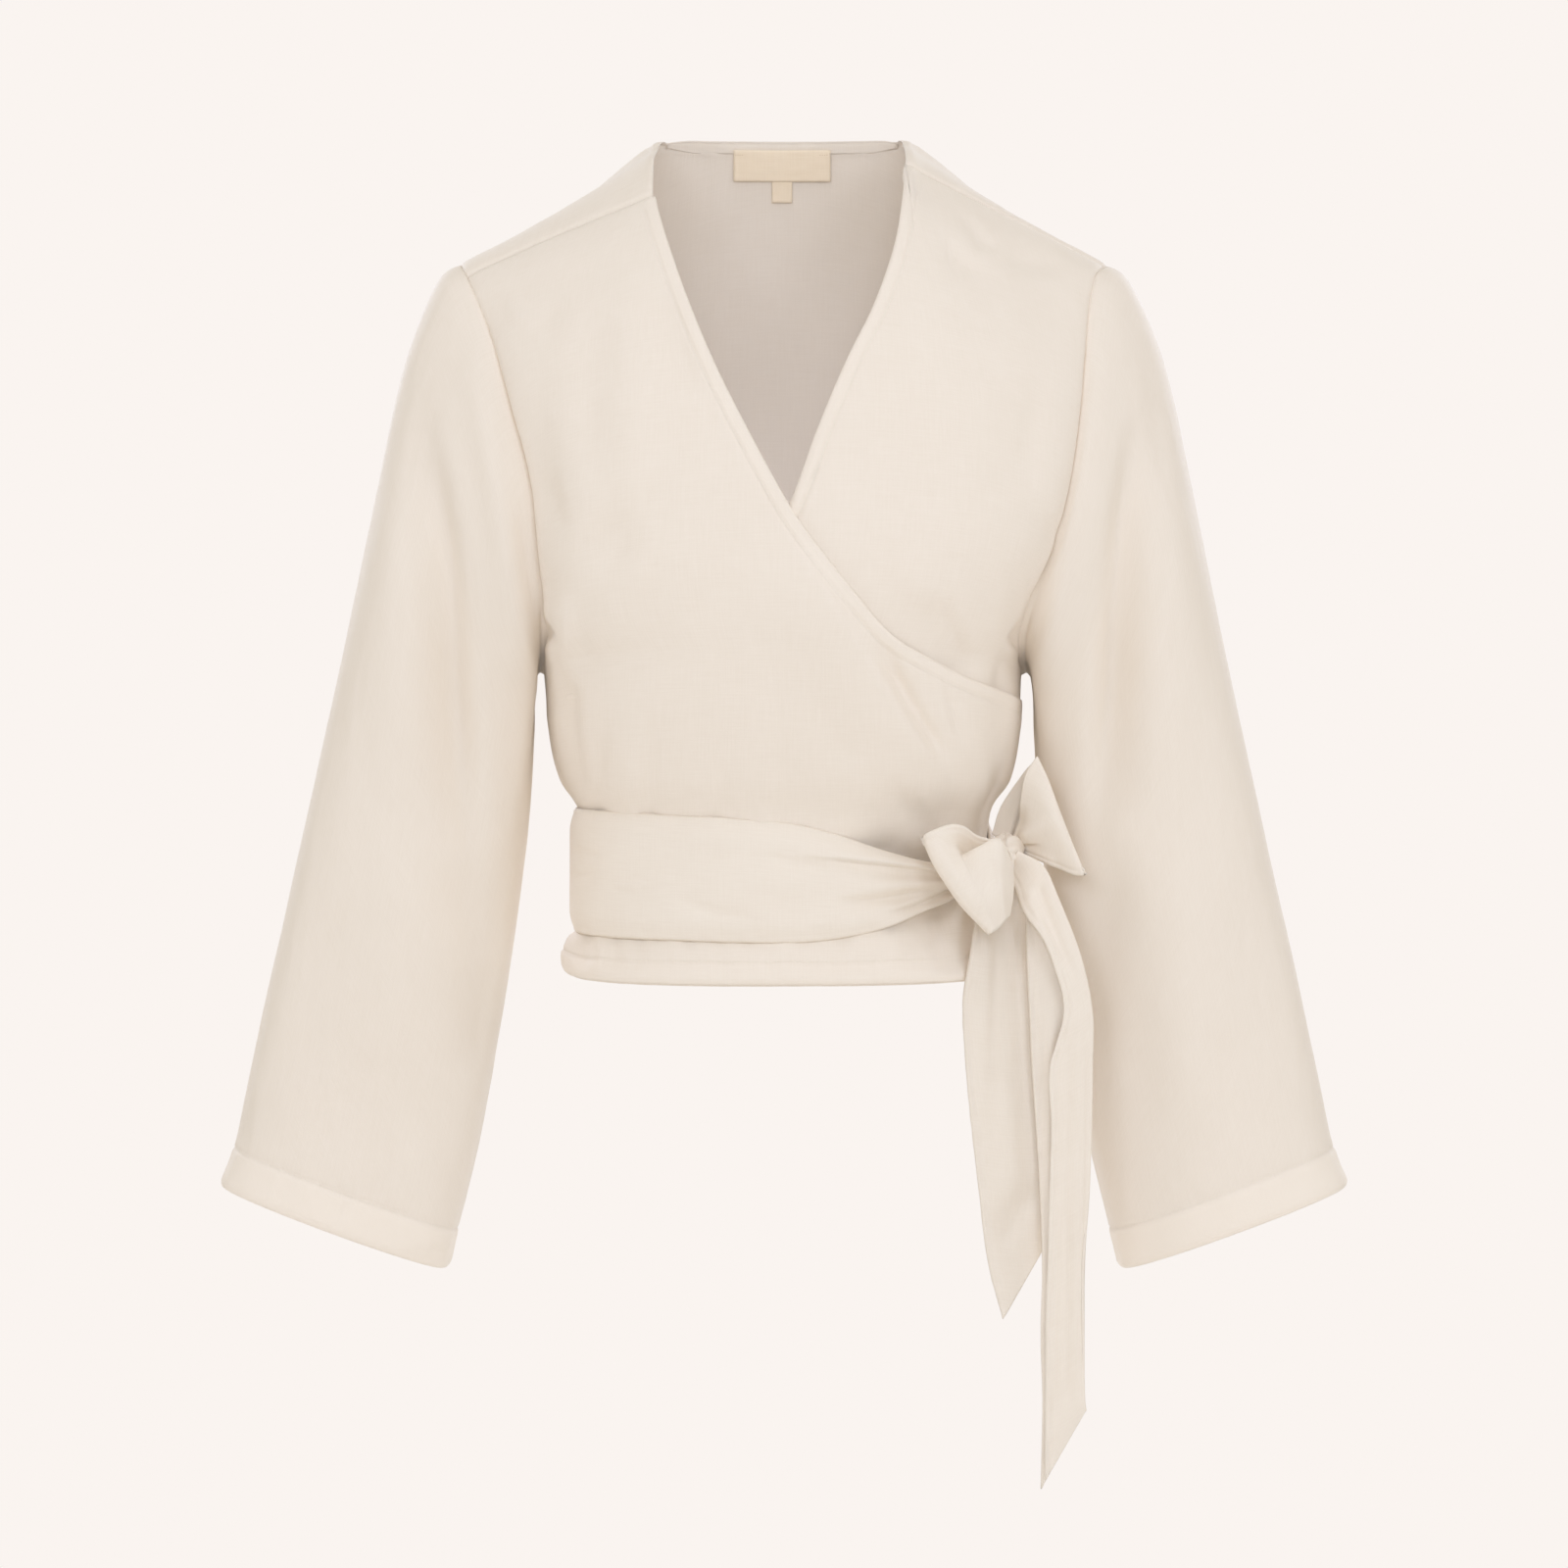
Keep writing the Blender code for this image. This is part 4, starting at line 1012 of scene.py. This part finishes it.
TAIL_SHORT = table(
    "ax ay az bx by bz",
    (124, -56, -426, 135, -50, -428),
    (122.5, -60, -444, 144, -51, -444),
    (115, -65, -463, 149, -52, -463),
    (111, -75, -484, 153, -59, -484),
    (107, -80, -510, 156, -63, -510),
    (108, -79, -540, 162, -64, -540),
    (111.5, -77, -580, 168, -64, -575),
    (116, -75, -619, 171, -64, -600),
    (122, -73, -666, 173, -64, -615),
    (131, -72, -701, 173.5, -64, -628),
)
TAIL_LONG = table(
    "ax ay az fx fy fz bx by bz",
    (133, -62, -433, 140, -64, -421.5, 137, -50, -430),
    (138.5, -69, -444, 154.5, -68, -430, 143, -56, -444),
    (143, -74, -457, 163, -71, -447.5, 145, -64, -460),
    (157, -83, -480, 176.5, -78, -484, 145, -71, -484),
    (167, -84, -515, 183, -79, -518, 146.5, -74, -518),
    (158, -83, -550, 183.5, -78.5, -550, 148, -74.5, -550),
    (159, -82, -585, 183, -78, -585, 150.5, -74, -585),
    (158, -81, -627, 181.5, -77.5, -627, 153, -74, -627),
    (157, -80, -668, 178.5, -77, -668, 154.5, -74, -668),
    (156, -80, -708, 178.5, -77, -708, 153.5, -74, -708),
    (156, -80, -745, 179, -77, -745, 154.5, -74, -750),
    (156, -80, -796, 180, -77, -755, 153.5, -74, -802),
)


def net(rows, stations, along, across):
    """A fine grid through a table of rows, each a line of points at the stations named."""
    count = len(rows[stations[0] + "x"])
    keyed = {"row": np.arange(count, dtype=float), **rows}
    at = read(keyed, "row", np.linspace(0, count - 1, along))
    lines = {"station": np.arange(len(stations), dtype=float)}
    found = np.zeros((along, across, 3))
    where = np.linspace(0, len(stations) - 1, across)
    for i, axis in enumerate("xyz"):
        columns = np.stack([at[name + axis] for name in stations])
        for r in range(along):
            found[r, :, i] = read({**lines, "value": columns[:, r]}, "station", where)["value"]
    return found


TAIL_SHORT_FOLDS = table(
    FOLD_COLUMNS,
    (137.5, -462, 141.2, -513, -0.8, 1.2, 3, -1.4, 0.2, 0.8),
    (137.2, -470, 145.5, -580, 1, 4, 5, -1.6, 0.3, 0.6),
    (117.4, -460, 118, -488, 0, 1.2, 3, -1.4, 0.2, 0.5),
    (130, -450, 126, -590, 3, 5, 6, -2, 0.2, 0.5),
    (123, -470, 120, -560, 1, 4, 5, 1.6, 0.2, 0.5),
    (134, -550, 142, -640, 3, 8, 9, 2.4, 0.3, 0.6),
    (158, -618, 126, -664, 3, 6, 10, -2.8, 0.3, 0.6),
)
TAIL_LONG_FOLDS = table(
    FOLD_COLUMNS,
    (146, -445, 170, -500, 2, 3, 5, 2, 0.1, 0.6),
    (152, -440, 178, -505, 2, 3, 5, -1.6, 0.1, 0.6),
    (159.5, -515, 160, -750, 1, 4.5, 5.5, 2, 0.1, 0.9),
    (170, -520, 169, -760, 1, 4, 6, -1.4, 0.1, 0.9),
    (180, -530, 177, -740, 0, 1, 1.6, -0.8, 0.1, 0.9),
    (156, -520, 153, -640, 0, 2, 3, -1.2, 0.1, 0.7),
)
LOOP_FRONT_FOLDS = table(
    FOLD_COLUMNS,
    (132, -430, 112, -452, 2, 6, 8, -1, 0.2, 0.6),
    (90, -413, 118, -462, 2, 5, 6, 0.8, 0.3, 0.7),
)
LOOP_BACK_FOLDS = table(
    FOLD_COLUMNS,
    # pleats that run out of the knot, and the stitched hem above the bottom edge
    (137, -415, 142.5, -392, 1, 1.5, 3, -2.2, 0.1, 0.5),
    (136, -418, 156, -417, 0.6, 1, 3, -2, 0.1, 0.5),
    (140, -413, 164, -398, 2, 4, 5, 1.4, 0.2, 0.5),
)


def strip(name, rows, stations, along, across, finish, fold_rows, seed, hemmed=(True, True)):
    """A stretch of the tie on a net of rows, and the lines of stitches beside its hemmed edges."""
    points = net(rows, stations, along, across)
    u, w = walk(points), walk(points, 1)
    normal = unit(np.cross(np.gradient(points, axis=1), np.gradient(points, axis=0)))
    normal = normal * np.where(normal[..., 1:2] > 0, -1.0, 1.0)
    edges = [distance for distance, is_hemmed in zip((w, w[:, -1:] - w), hemmed) if is_hemmed]
    height = folds(fold_rows, points[..., 0], points[..., 2])
    height += 0.6 * drape(points[..., 0] * 2, points[..., 2], seed)
    from_edge = np.minimum.reduce(edges)
    height += stitched(from_edge, TIE_STITCH, u, seed + 2) * smooth(0, 0.010, w[:, -1:])
    points = points + normal * height[..., None]
    made = grid_piece(name, points, finish, TIE_SHELL, uv=np.stack([u, w], -1))
    columns = [int(np.argmin(np.abs(np.median(edge, 0) - TIE_STITCH))) for edge in edges]
    return made, [(points[:, column], normal[:, column]) for column in columns]


KNOT_SHIFT = np.array([-0.0040, -0.0160, 0.0070])  # out of its solid's middle, to under the loops
KNOT_SWELL = np.array([1.30, 1.90, 1.15])


def knot(finish):
    """The knot: a short stretch of the band wound round the middle, drawn into pleats."""
    low, high = (np.array(corner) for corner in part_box("bow_knot"))
    middle = (low + high) / 2 + KNOT_SHIFT
    half = (high - low) / 2 * KNOT_SWELL
    rows, columns = 64, 96
    share = np.linspace(0.0, 1.0, rows)[:, None]
    turn = np.linspace(0, 2 * math.pi, columns + 1)[None, :-1]
    swell = np.sin(math.pi * (0.03 + 0.94 * share)) ** 0.55
    lean = turn + 1.1 * share + 0.3 * np.sin(2 * turn)
    pleats = 0.10 * np.sin(5 * lean) + 0.05 * np.sin(9 * lean + 1.7)
    swell = swell * (0.86 + pleats)
    waist = 1 - 0.10 * bell(share - 0.46, 0.05)
    x = middle[0] + half[0] * (2 * share - 1) * 0.97 + 0.0012 * np.sin(turn + 1)
    y = middle[1] + half[1] * np.cos(turn) * swell * waist
    z = middle[2] + half[2] * np.sin(turn) * swell * waist
    points = np.stack(np.broadcast_arrays(x, y, z), -1)
    uv = np.stack(np.broadcast_arrays(0.040 * turn / math.pi, 0.030 * share), -1)
    return grid_piece("bow_knot_cloth", points, finish, TIE_SHELL, closed=True, uv=uv)


def back_neck_point(x, z, lift):
    """Points inside the back of the neck, at x across and height z."""
    v = 0 * x + 1.6
    for _ in range(5):
        s = crossing(lambda t: torso("back", t, v)[..., 0] > x, 0 * x - 1, 0 * x + 1)
        v = crossing(lambda t: torso("back", s, t)[..., 2] > z, 0 * x + 1.2, 0 * x + 1.76)
    return torso("back", s, v) - outward("back", s, v) * lift


def trim(sizes, columns, rows):
    """Points and cloth places of a ribbon or strip that lies inside the back of the neck."""
    top, half = BACK_NECK_Z - sizes["drop"], sizes["width"] / 2
    middle = (BACK_NECK["x_left"][-1] - BACK_NECK["x_right"][-1]) / 2
    x = np.linspace(middle - half, middle + half, columns)
    x, z = np.meshgrid(x, np.linspace(top - sizes["height"], top, rows))
    share = (z - z.min()) / (z.max() - z.min())
    z = top - (top - z) * (1 - sizes["taper"] * smooth(0.76, 1.0, np.abs(x - middle) / half))
    lift = sizes["lift"] - sizes["curl"] * smooth(0.6, 1, share)
    points = np.stack([back_neck_point(x[r], z[r], lift[r][:, None]) for r in range(rows)])
    points[..., 1] += 0.0002 * noise(x / 0.006, z / 0.004, 71)
    return level_neck(points), np.stack([x, z], -1)


def stitches(name, lines, finish, pitch=0.0026, length=0.0019, width=0.00034):
    """Stitches along lines of points and normals, as one mesh of small rounded bars."""
    sides = 5
    stations = ((-0.5, 0.45), (-0.36, 1.0), (0.36, 1.0), (0.5, 0.45))
    last = (len(stations) - 1) * sides
    bar_faces = []
    for low in range(0, last, sides):
        for k in range(sides):
            n = (k + 1) % sides
            bar_faces.append([low + k, low + n, low + sides + n, low + sides + k])
    bar_faces += [list(range(sides))[::-1], [last + k for k in range(sides)]]
    bars, faces = [], []
    for points, normals in lines:
        run = walk(points)
        at = np.arange(pitch, run[-1] - pitch, pitch)

        def at_runs(values, where):
            return np.stack([np.interp(where, run, values[:, i]) for i in range(3)], -1)

        centre = at_runs(points, at)
        along = unit(at_runs(points, at + 0.0008) - centre)
        beside = unit(np.cross(unit(at_runs(normals, at)), along))
        up = np.cross(along, beside)
        centre = centre + up * (SHELL / 2 + width * 0.15)
        for c, a, b, u in zip(centre, along, beside, up):
            faces += [[len(bars) + k for k in face] for face in bar_faces]
            for offset, size in stations:
                for turn in np.arange(sides) * 2 * math.pi / sides:
                    ring = b * math.cos(turn) + u * math.sin(turn) * 0.7
                    bars.append(tuple(c + a * offset * length + ring * width / 2 * size))
    mesh = bpy.data.meshes.new(name)
    mesh.from_pydata(bars, [], faces)
    mesh.materials.append(finish)
    return add_object(name, mesh)


def node(tree, kind, **settings):
    """A node with its settings: a socket to link from, an input's value, or an attribute."""
    made = tree.nodes.new(kind)
    for key, value in settings.items():
        if isinstance(value, bpy.types.NodeSocket):
            tree.links.new(value, made.inputs[key])
        elif key in made.inputs:
            made.inputs[key].default_value = value
        else:
            setattr(made, key, value)
    return made


def cloth_material(name, colour, shade, spacing, weave_depth, sheen):
    """Plain-woven cloth: threads both ways, slubs along them and a soft unevenness of colour."""
    made = material(name, colour)
    tree = made.node_tree
    link = tree.links.new
    shader = tree.nodes["Principled BSDF"]
    shader.inputs["Sheen Weight"].default_value = sheen
    shader.inputs["Sheen Roughness"].default_value = 0.45
    shader.inputs["Sheen Tint"].default_value = (1.0, 0.96, 0.90, 1.0)
    shader.inputs["Specular IOR Level"].default_value = 0.32
    place = node(tree, "ShaderNodeUVMap", uv_map="cloth").outputs["UV"]

    def stretched(x, y):
        return node(tree, "ShaderNodeMapping", Vector=place, Scale=(x, y, 1.0)).outputs["Vector"]

    def textured(vector, scale, detail, roughness):
        sizes = {"Scale": scale, "Detail": detail, "Roughness": roughness}
        made_noise = node(tree, "ShaderNodeTexNoise", noise_dimensions="2D", Vector=vector, **sizes)
        return made_noise.outputs["Fac"]

    def maths(operation, a, b):
        made_math = node(tree, "ShaderNodeMath", operation=operation)
        for socket, value in zip(made_math.inputs, (a, b)):
            if isinstance(value, (int, float)):
                socket.default_value = value
            else:
                link(value, socket)
        return made_math.outputs["Value"]

    def mixed(factor, first, second):
        mix = node(tree, "ShaderNodeMix", data_type="RGBA")
        for socket, value in zip((mix.inputs[0], mix.inputs[6]), (factor, first)):
            if isinstance(value, tuple):
                socket.default_value = value
            else:
                link(value, socket)
        mix.inputs[7].default_value = second
        return mix.outputs[2]

    def ranged(value, **limits):
        limits = {key.replace("_", " "): limit for key, limit in limits.items()}
        return node(tree, "ShaderNodeMapRange", Value=value, **limits).outputs["Result"]

    def threads(direction):
        wave = node(
            tree, "ShaderNodeTexWave", bands_direction=direction, Vector=place,
            Scale=math.pi / 10 / spacing, Distortion=1.2, Detail=1.0, **{"Detail Scale": 0.6},
        )
        return maths("MULTIPLY", wave.outputs["Fac"], 0.5)

    weave = maths("ADD", threads("X"), threads("Y"))
    warp = textured(stretched(1 / 0.0009, 1 / 0.022), 1.0, 3.0, 0.6)
    weft = textured(stretched(1 / 0.018, 1 / 0.0008), 1.0, 3.0, 0.6)
    slub = maths("MULTIPLY", maths("ADD", warp, weft), 0.5)
    mottle = textured(place, 26.0, 4.0, 0.55)
    grain = textured(place, 900.0, 2.0, 0.6)

    amount = maths("ADD", maths("MULTIPLY", slub, 0.80), maths("MULTIPLY", mottle, 0.20))
    tone = mixed(ranged(amount, From_Min=0.30, From_Max=0.66), shade, colour)
    double = node(tree, "ShaderNodeAttribute", attribute_name="doubled").outputs["Fac"]
    paler = tuple(min(c * 1.055, 1.0) for c in colour)
    link(mixed(double, tone, paler), shader.inputs["Base Color"])
    link(ranged(slub, To_Min=0.60, To_Max=0.76), shader.inputs["Roughness"])
    fibres = maths("ADD", maths("MULTIPLY", slub, 0.00016), maths("MULTIPLY", grain, 0.00005))
    height = maths("ADD", maths("MULTIPLY", weave, weave_depth), fibres)
    bump = node(tree, "ShaderNodeBump", Strength=0.7, Distance=1.0, Height=height)
    link(bump.outputs["Normal"], shader.inputs["Normal"])
    return made


def light(name, location, target, size, power):
    """A square lamp of daylight at a place, turned to a target."""
    data = bpy.data.lights.new(name, "AREA")
    data.shape = "RECTANGLE"
    data.size, data.size_y = size, size
    data.energy = power
    data.color = DAYLIGHT
    made = bpy.data.objects.new(name, data)
    bpy.context.scene.collection.objects.link(made)
    made.location = location
    direction = Vector(target) - Vector(location)
    made.rotation_euler = direction.to_track_quat("-Z", "Y").to_euler()
    return made


CREAM, CREAM_SHADE = (0.885, 0.790, 0.670, 1.0), (0.850, 0.750, 0.625, 1.0)
TIE_CREAM, TIE_SHADE = (0.893, 0.802, 0.680, 1.0), (0.858, 0.760, 0.635, 1.0)
TAN, TAN_SHADE = (0.98, 0.83, 0.63, 1.0), (0.94, 0.78, 0.57, 1.0)
cloth = cloth_material("cream_cloth", CREAM, CREAM_SHADE, 0.00042, 0.00006, 0.25)
tie_cloth = cloth_material("tie_cloth_cream", TIE_CREAM, TIE_SHADE, 0.00042, 0.00006, 0.25)
tan = cloth_material("label_ribbon", TAN, TAN_SHADE, 0.00030, 0.00005, 0.1)
thread = material("sewing_thread", (0.88, 0.80, 0.68, 1.0))
label_thread = material("label_thread", (0.70, 0.50, 0.32, 1.0))

over, over_edge, over_hem = front("front_over_cloth", -1, OVER_EDGE, OVER_FOLDS, cloth)
under, under_edge, under_hem = front("front_under_cloth", 1, UNDER_EDGE, UNDER_FOLDS, cloth)
back_piece, back_hem = back(cloth)
right_sleeve, right_cuff = sleeve("sleeve_right_cloth", -1, cloth)
left_sleeve, left_cuff = sleeve("sleeve_left_cloth", 1, cloth)
tie, tie_lines = waist_tie(tie_cloth)
points, uv = trim(FACING, 60, 8)
facing = grid_piece("neck_facing_cloth", points, cloth, TRIM_SHELL, uv=uv)
label_points, uv = trim(LABEL, 40, 14)
label = grid_piece("neck_label_ribbon", label_points, tan, TRIM_SHELL, uv=uv)
points, uv = trim(SIZE_TAB, 12, 18)
tab = grid_piece("size_tab_ribbon", points, tan, TRIM_SHELL, uv=uv)
loop_front = strip(
    "bow_loop_front_cloth", LOOP_FRONT, "tumlb", 170, 56, tie_cloth, LOOP_FRONT_FOLDS, 81, (True, False)
)[0]
loop_back, loop_lines = strip(
    "bow_loop_back_cloth", LOOP_BACK, "tumlb", 140, 56, tie_cloth, LOOP_BACK_FOLDS, 83, (False, True)
)
short_end, short_lines = strip(
    "tie_end_short_cloth", TAIL_SHORT, "ab", 190, 40, tie_cloth, TAIL_SHORT_FOLDS, 85
)
long_end, long_lines = strip(
    "tie_end_long_cloth", TAIL_LONG, "afb", 260, 56, tie_cloth, TAIL_LONG_FOLDS, 87
)
knot(tie_cloth)

# Two short rows tack the label down at its top corners.
ends = label_points[-3, :6], label_points[-3, -6:]
label_rows = [(end, 0 * end + (0, -1, 0)) for end in ends]
stitches("label_stitches", label_rows, label_thread, 0.0014, 0.0008, 0.0003)
stitches("edge_stitches", [over_edge, under_edge], thread)
stitches("hem_stitches", [over_hem, under_hem, back_hem], thread)
stitches("cuff_stitches", [right_cuff, left_cuff], thread)
stitches("tie_stitches", tie_lines + loop_lines + short_lines + long_lines, thread)

DAYLIGHT = (0.885, 0.985, 1.235)  # a cool lamp colour, so that what they miss keeps the room's warmth
MIDDLE = (0, 0, -0.4)
scene = bpy.context.scene
camera = bpy.data.objects.new("camera", bpy.data.cameras.new("camera"))
scene.collection.objects.link(camera)
camera.location = (0.0, -3.0, -0.381)
camera.rotation_euler = (math.pi / 2, 0.0, 0.0)
camera.data.sensor_width = 36.0
camera.data.lens = 112.5
scene.camera = camera

bpy.ops.mesh.primitive_plane_add(size=6.0, location=(0.0, 0.0, -1.35))
floor = bpy.context.active_object
floor.name = "floor"
floor.data.materials.append(material("floor_paint", (0.93, 0.90, 0.86, 1.0)))

scene.world = bpy.data.worlds.new("studio")
scene.world.use_nodes = True
tree = scene.world.node_tree
backdrop = tree.nodes["Background"]
backdrop.inputs["Color"].default_value = (0.956, 0.905, 0.871, 1.0)
backdrop.inputs["Strength"].default_value = 1.0
ambient = node(tree, "ShaderNodeBackground", Color=(1.07, 0.92, 0.60, 1.0), Strength=0.36)
seen, choice = node(tree, "ShaderNodeLightPath"), node(tree, "ShaderNodeMixShader")
tree.links.new(seen.outputs["Is Camera Ray"], choice.inputs[0])
tree.links.new(ambient.outputs[0], choice.inputs[1])
tree.links.new(backdrop.outputs[0], choice.inputs[2])
tree.links.new(choice.outputs[0], tree.nodes["World Output"].inputs["Surface"])
scene.view_settings.view_transform = "Standard"
light("key", (-1.2, -2.7, 0.9), MIDDLE, 1.2, 13.9)
light("fill", (1.4, -2.6, 0.5), MIDDLE, 1.2, 13.9)
light("front", (0.1, -3.3, 0.1), MIDDLE, 0.9, 13.6)
light("top", (0.0, -0.7, 1.9), MIDDLE, 1.4, 13.4)
light("behind_right", (-1.6, 2.5, 0.8), MIDDLE, 1.2, 36.0)
light("behind_left", (1.6, 2.5, 0.8), MIDDLE, 1.2, 36.0)
light("side_right", (-2.6, -0.8, 0.1), MIDDLE, 1.2, 12.0)
light("side_left", (2.6, -0.8, 0.1), MIDDLE, 1.2, 12.0)
light("inside", (0.0, -0.03, -0.30), (0, 0.10, -0.10), 0.12, 0.10).visible_camera = False
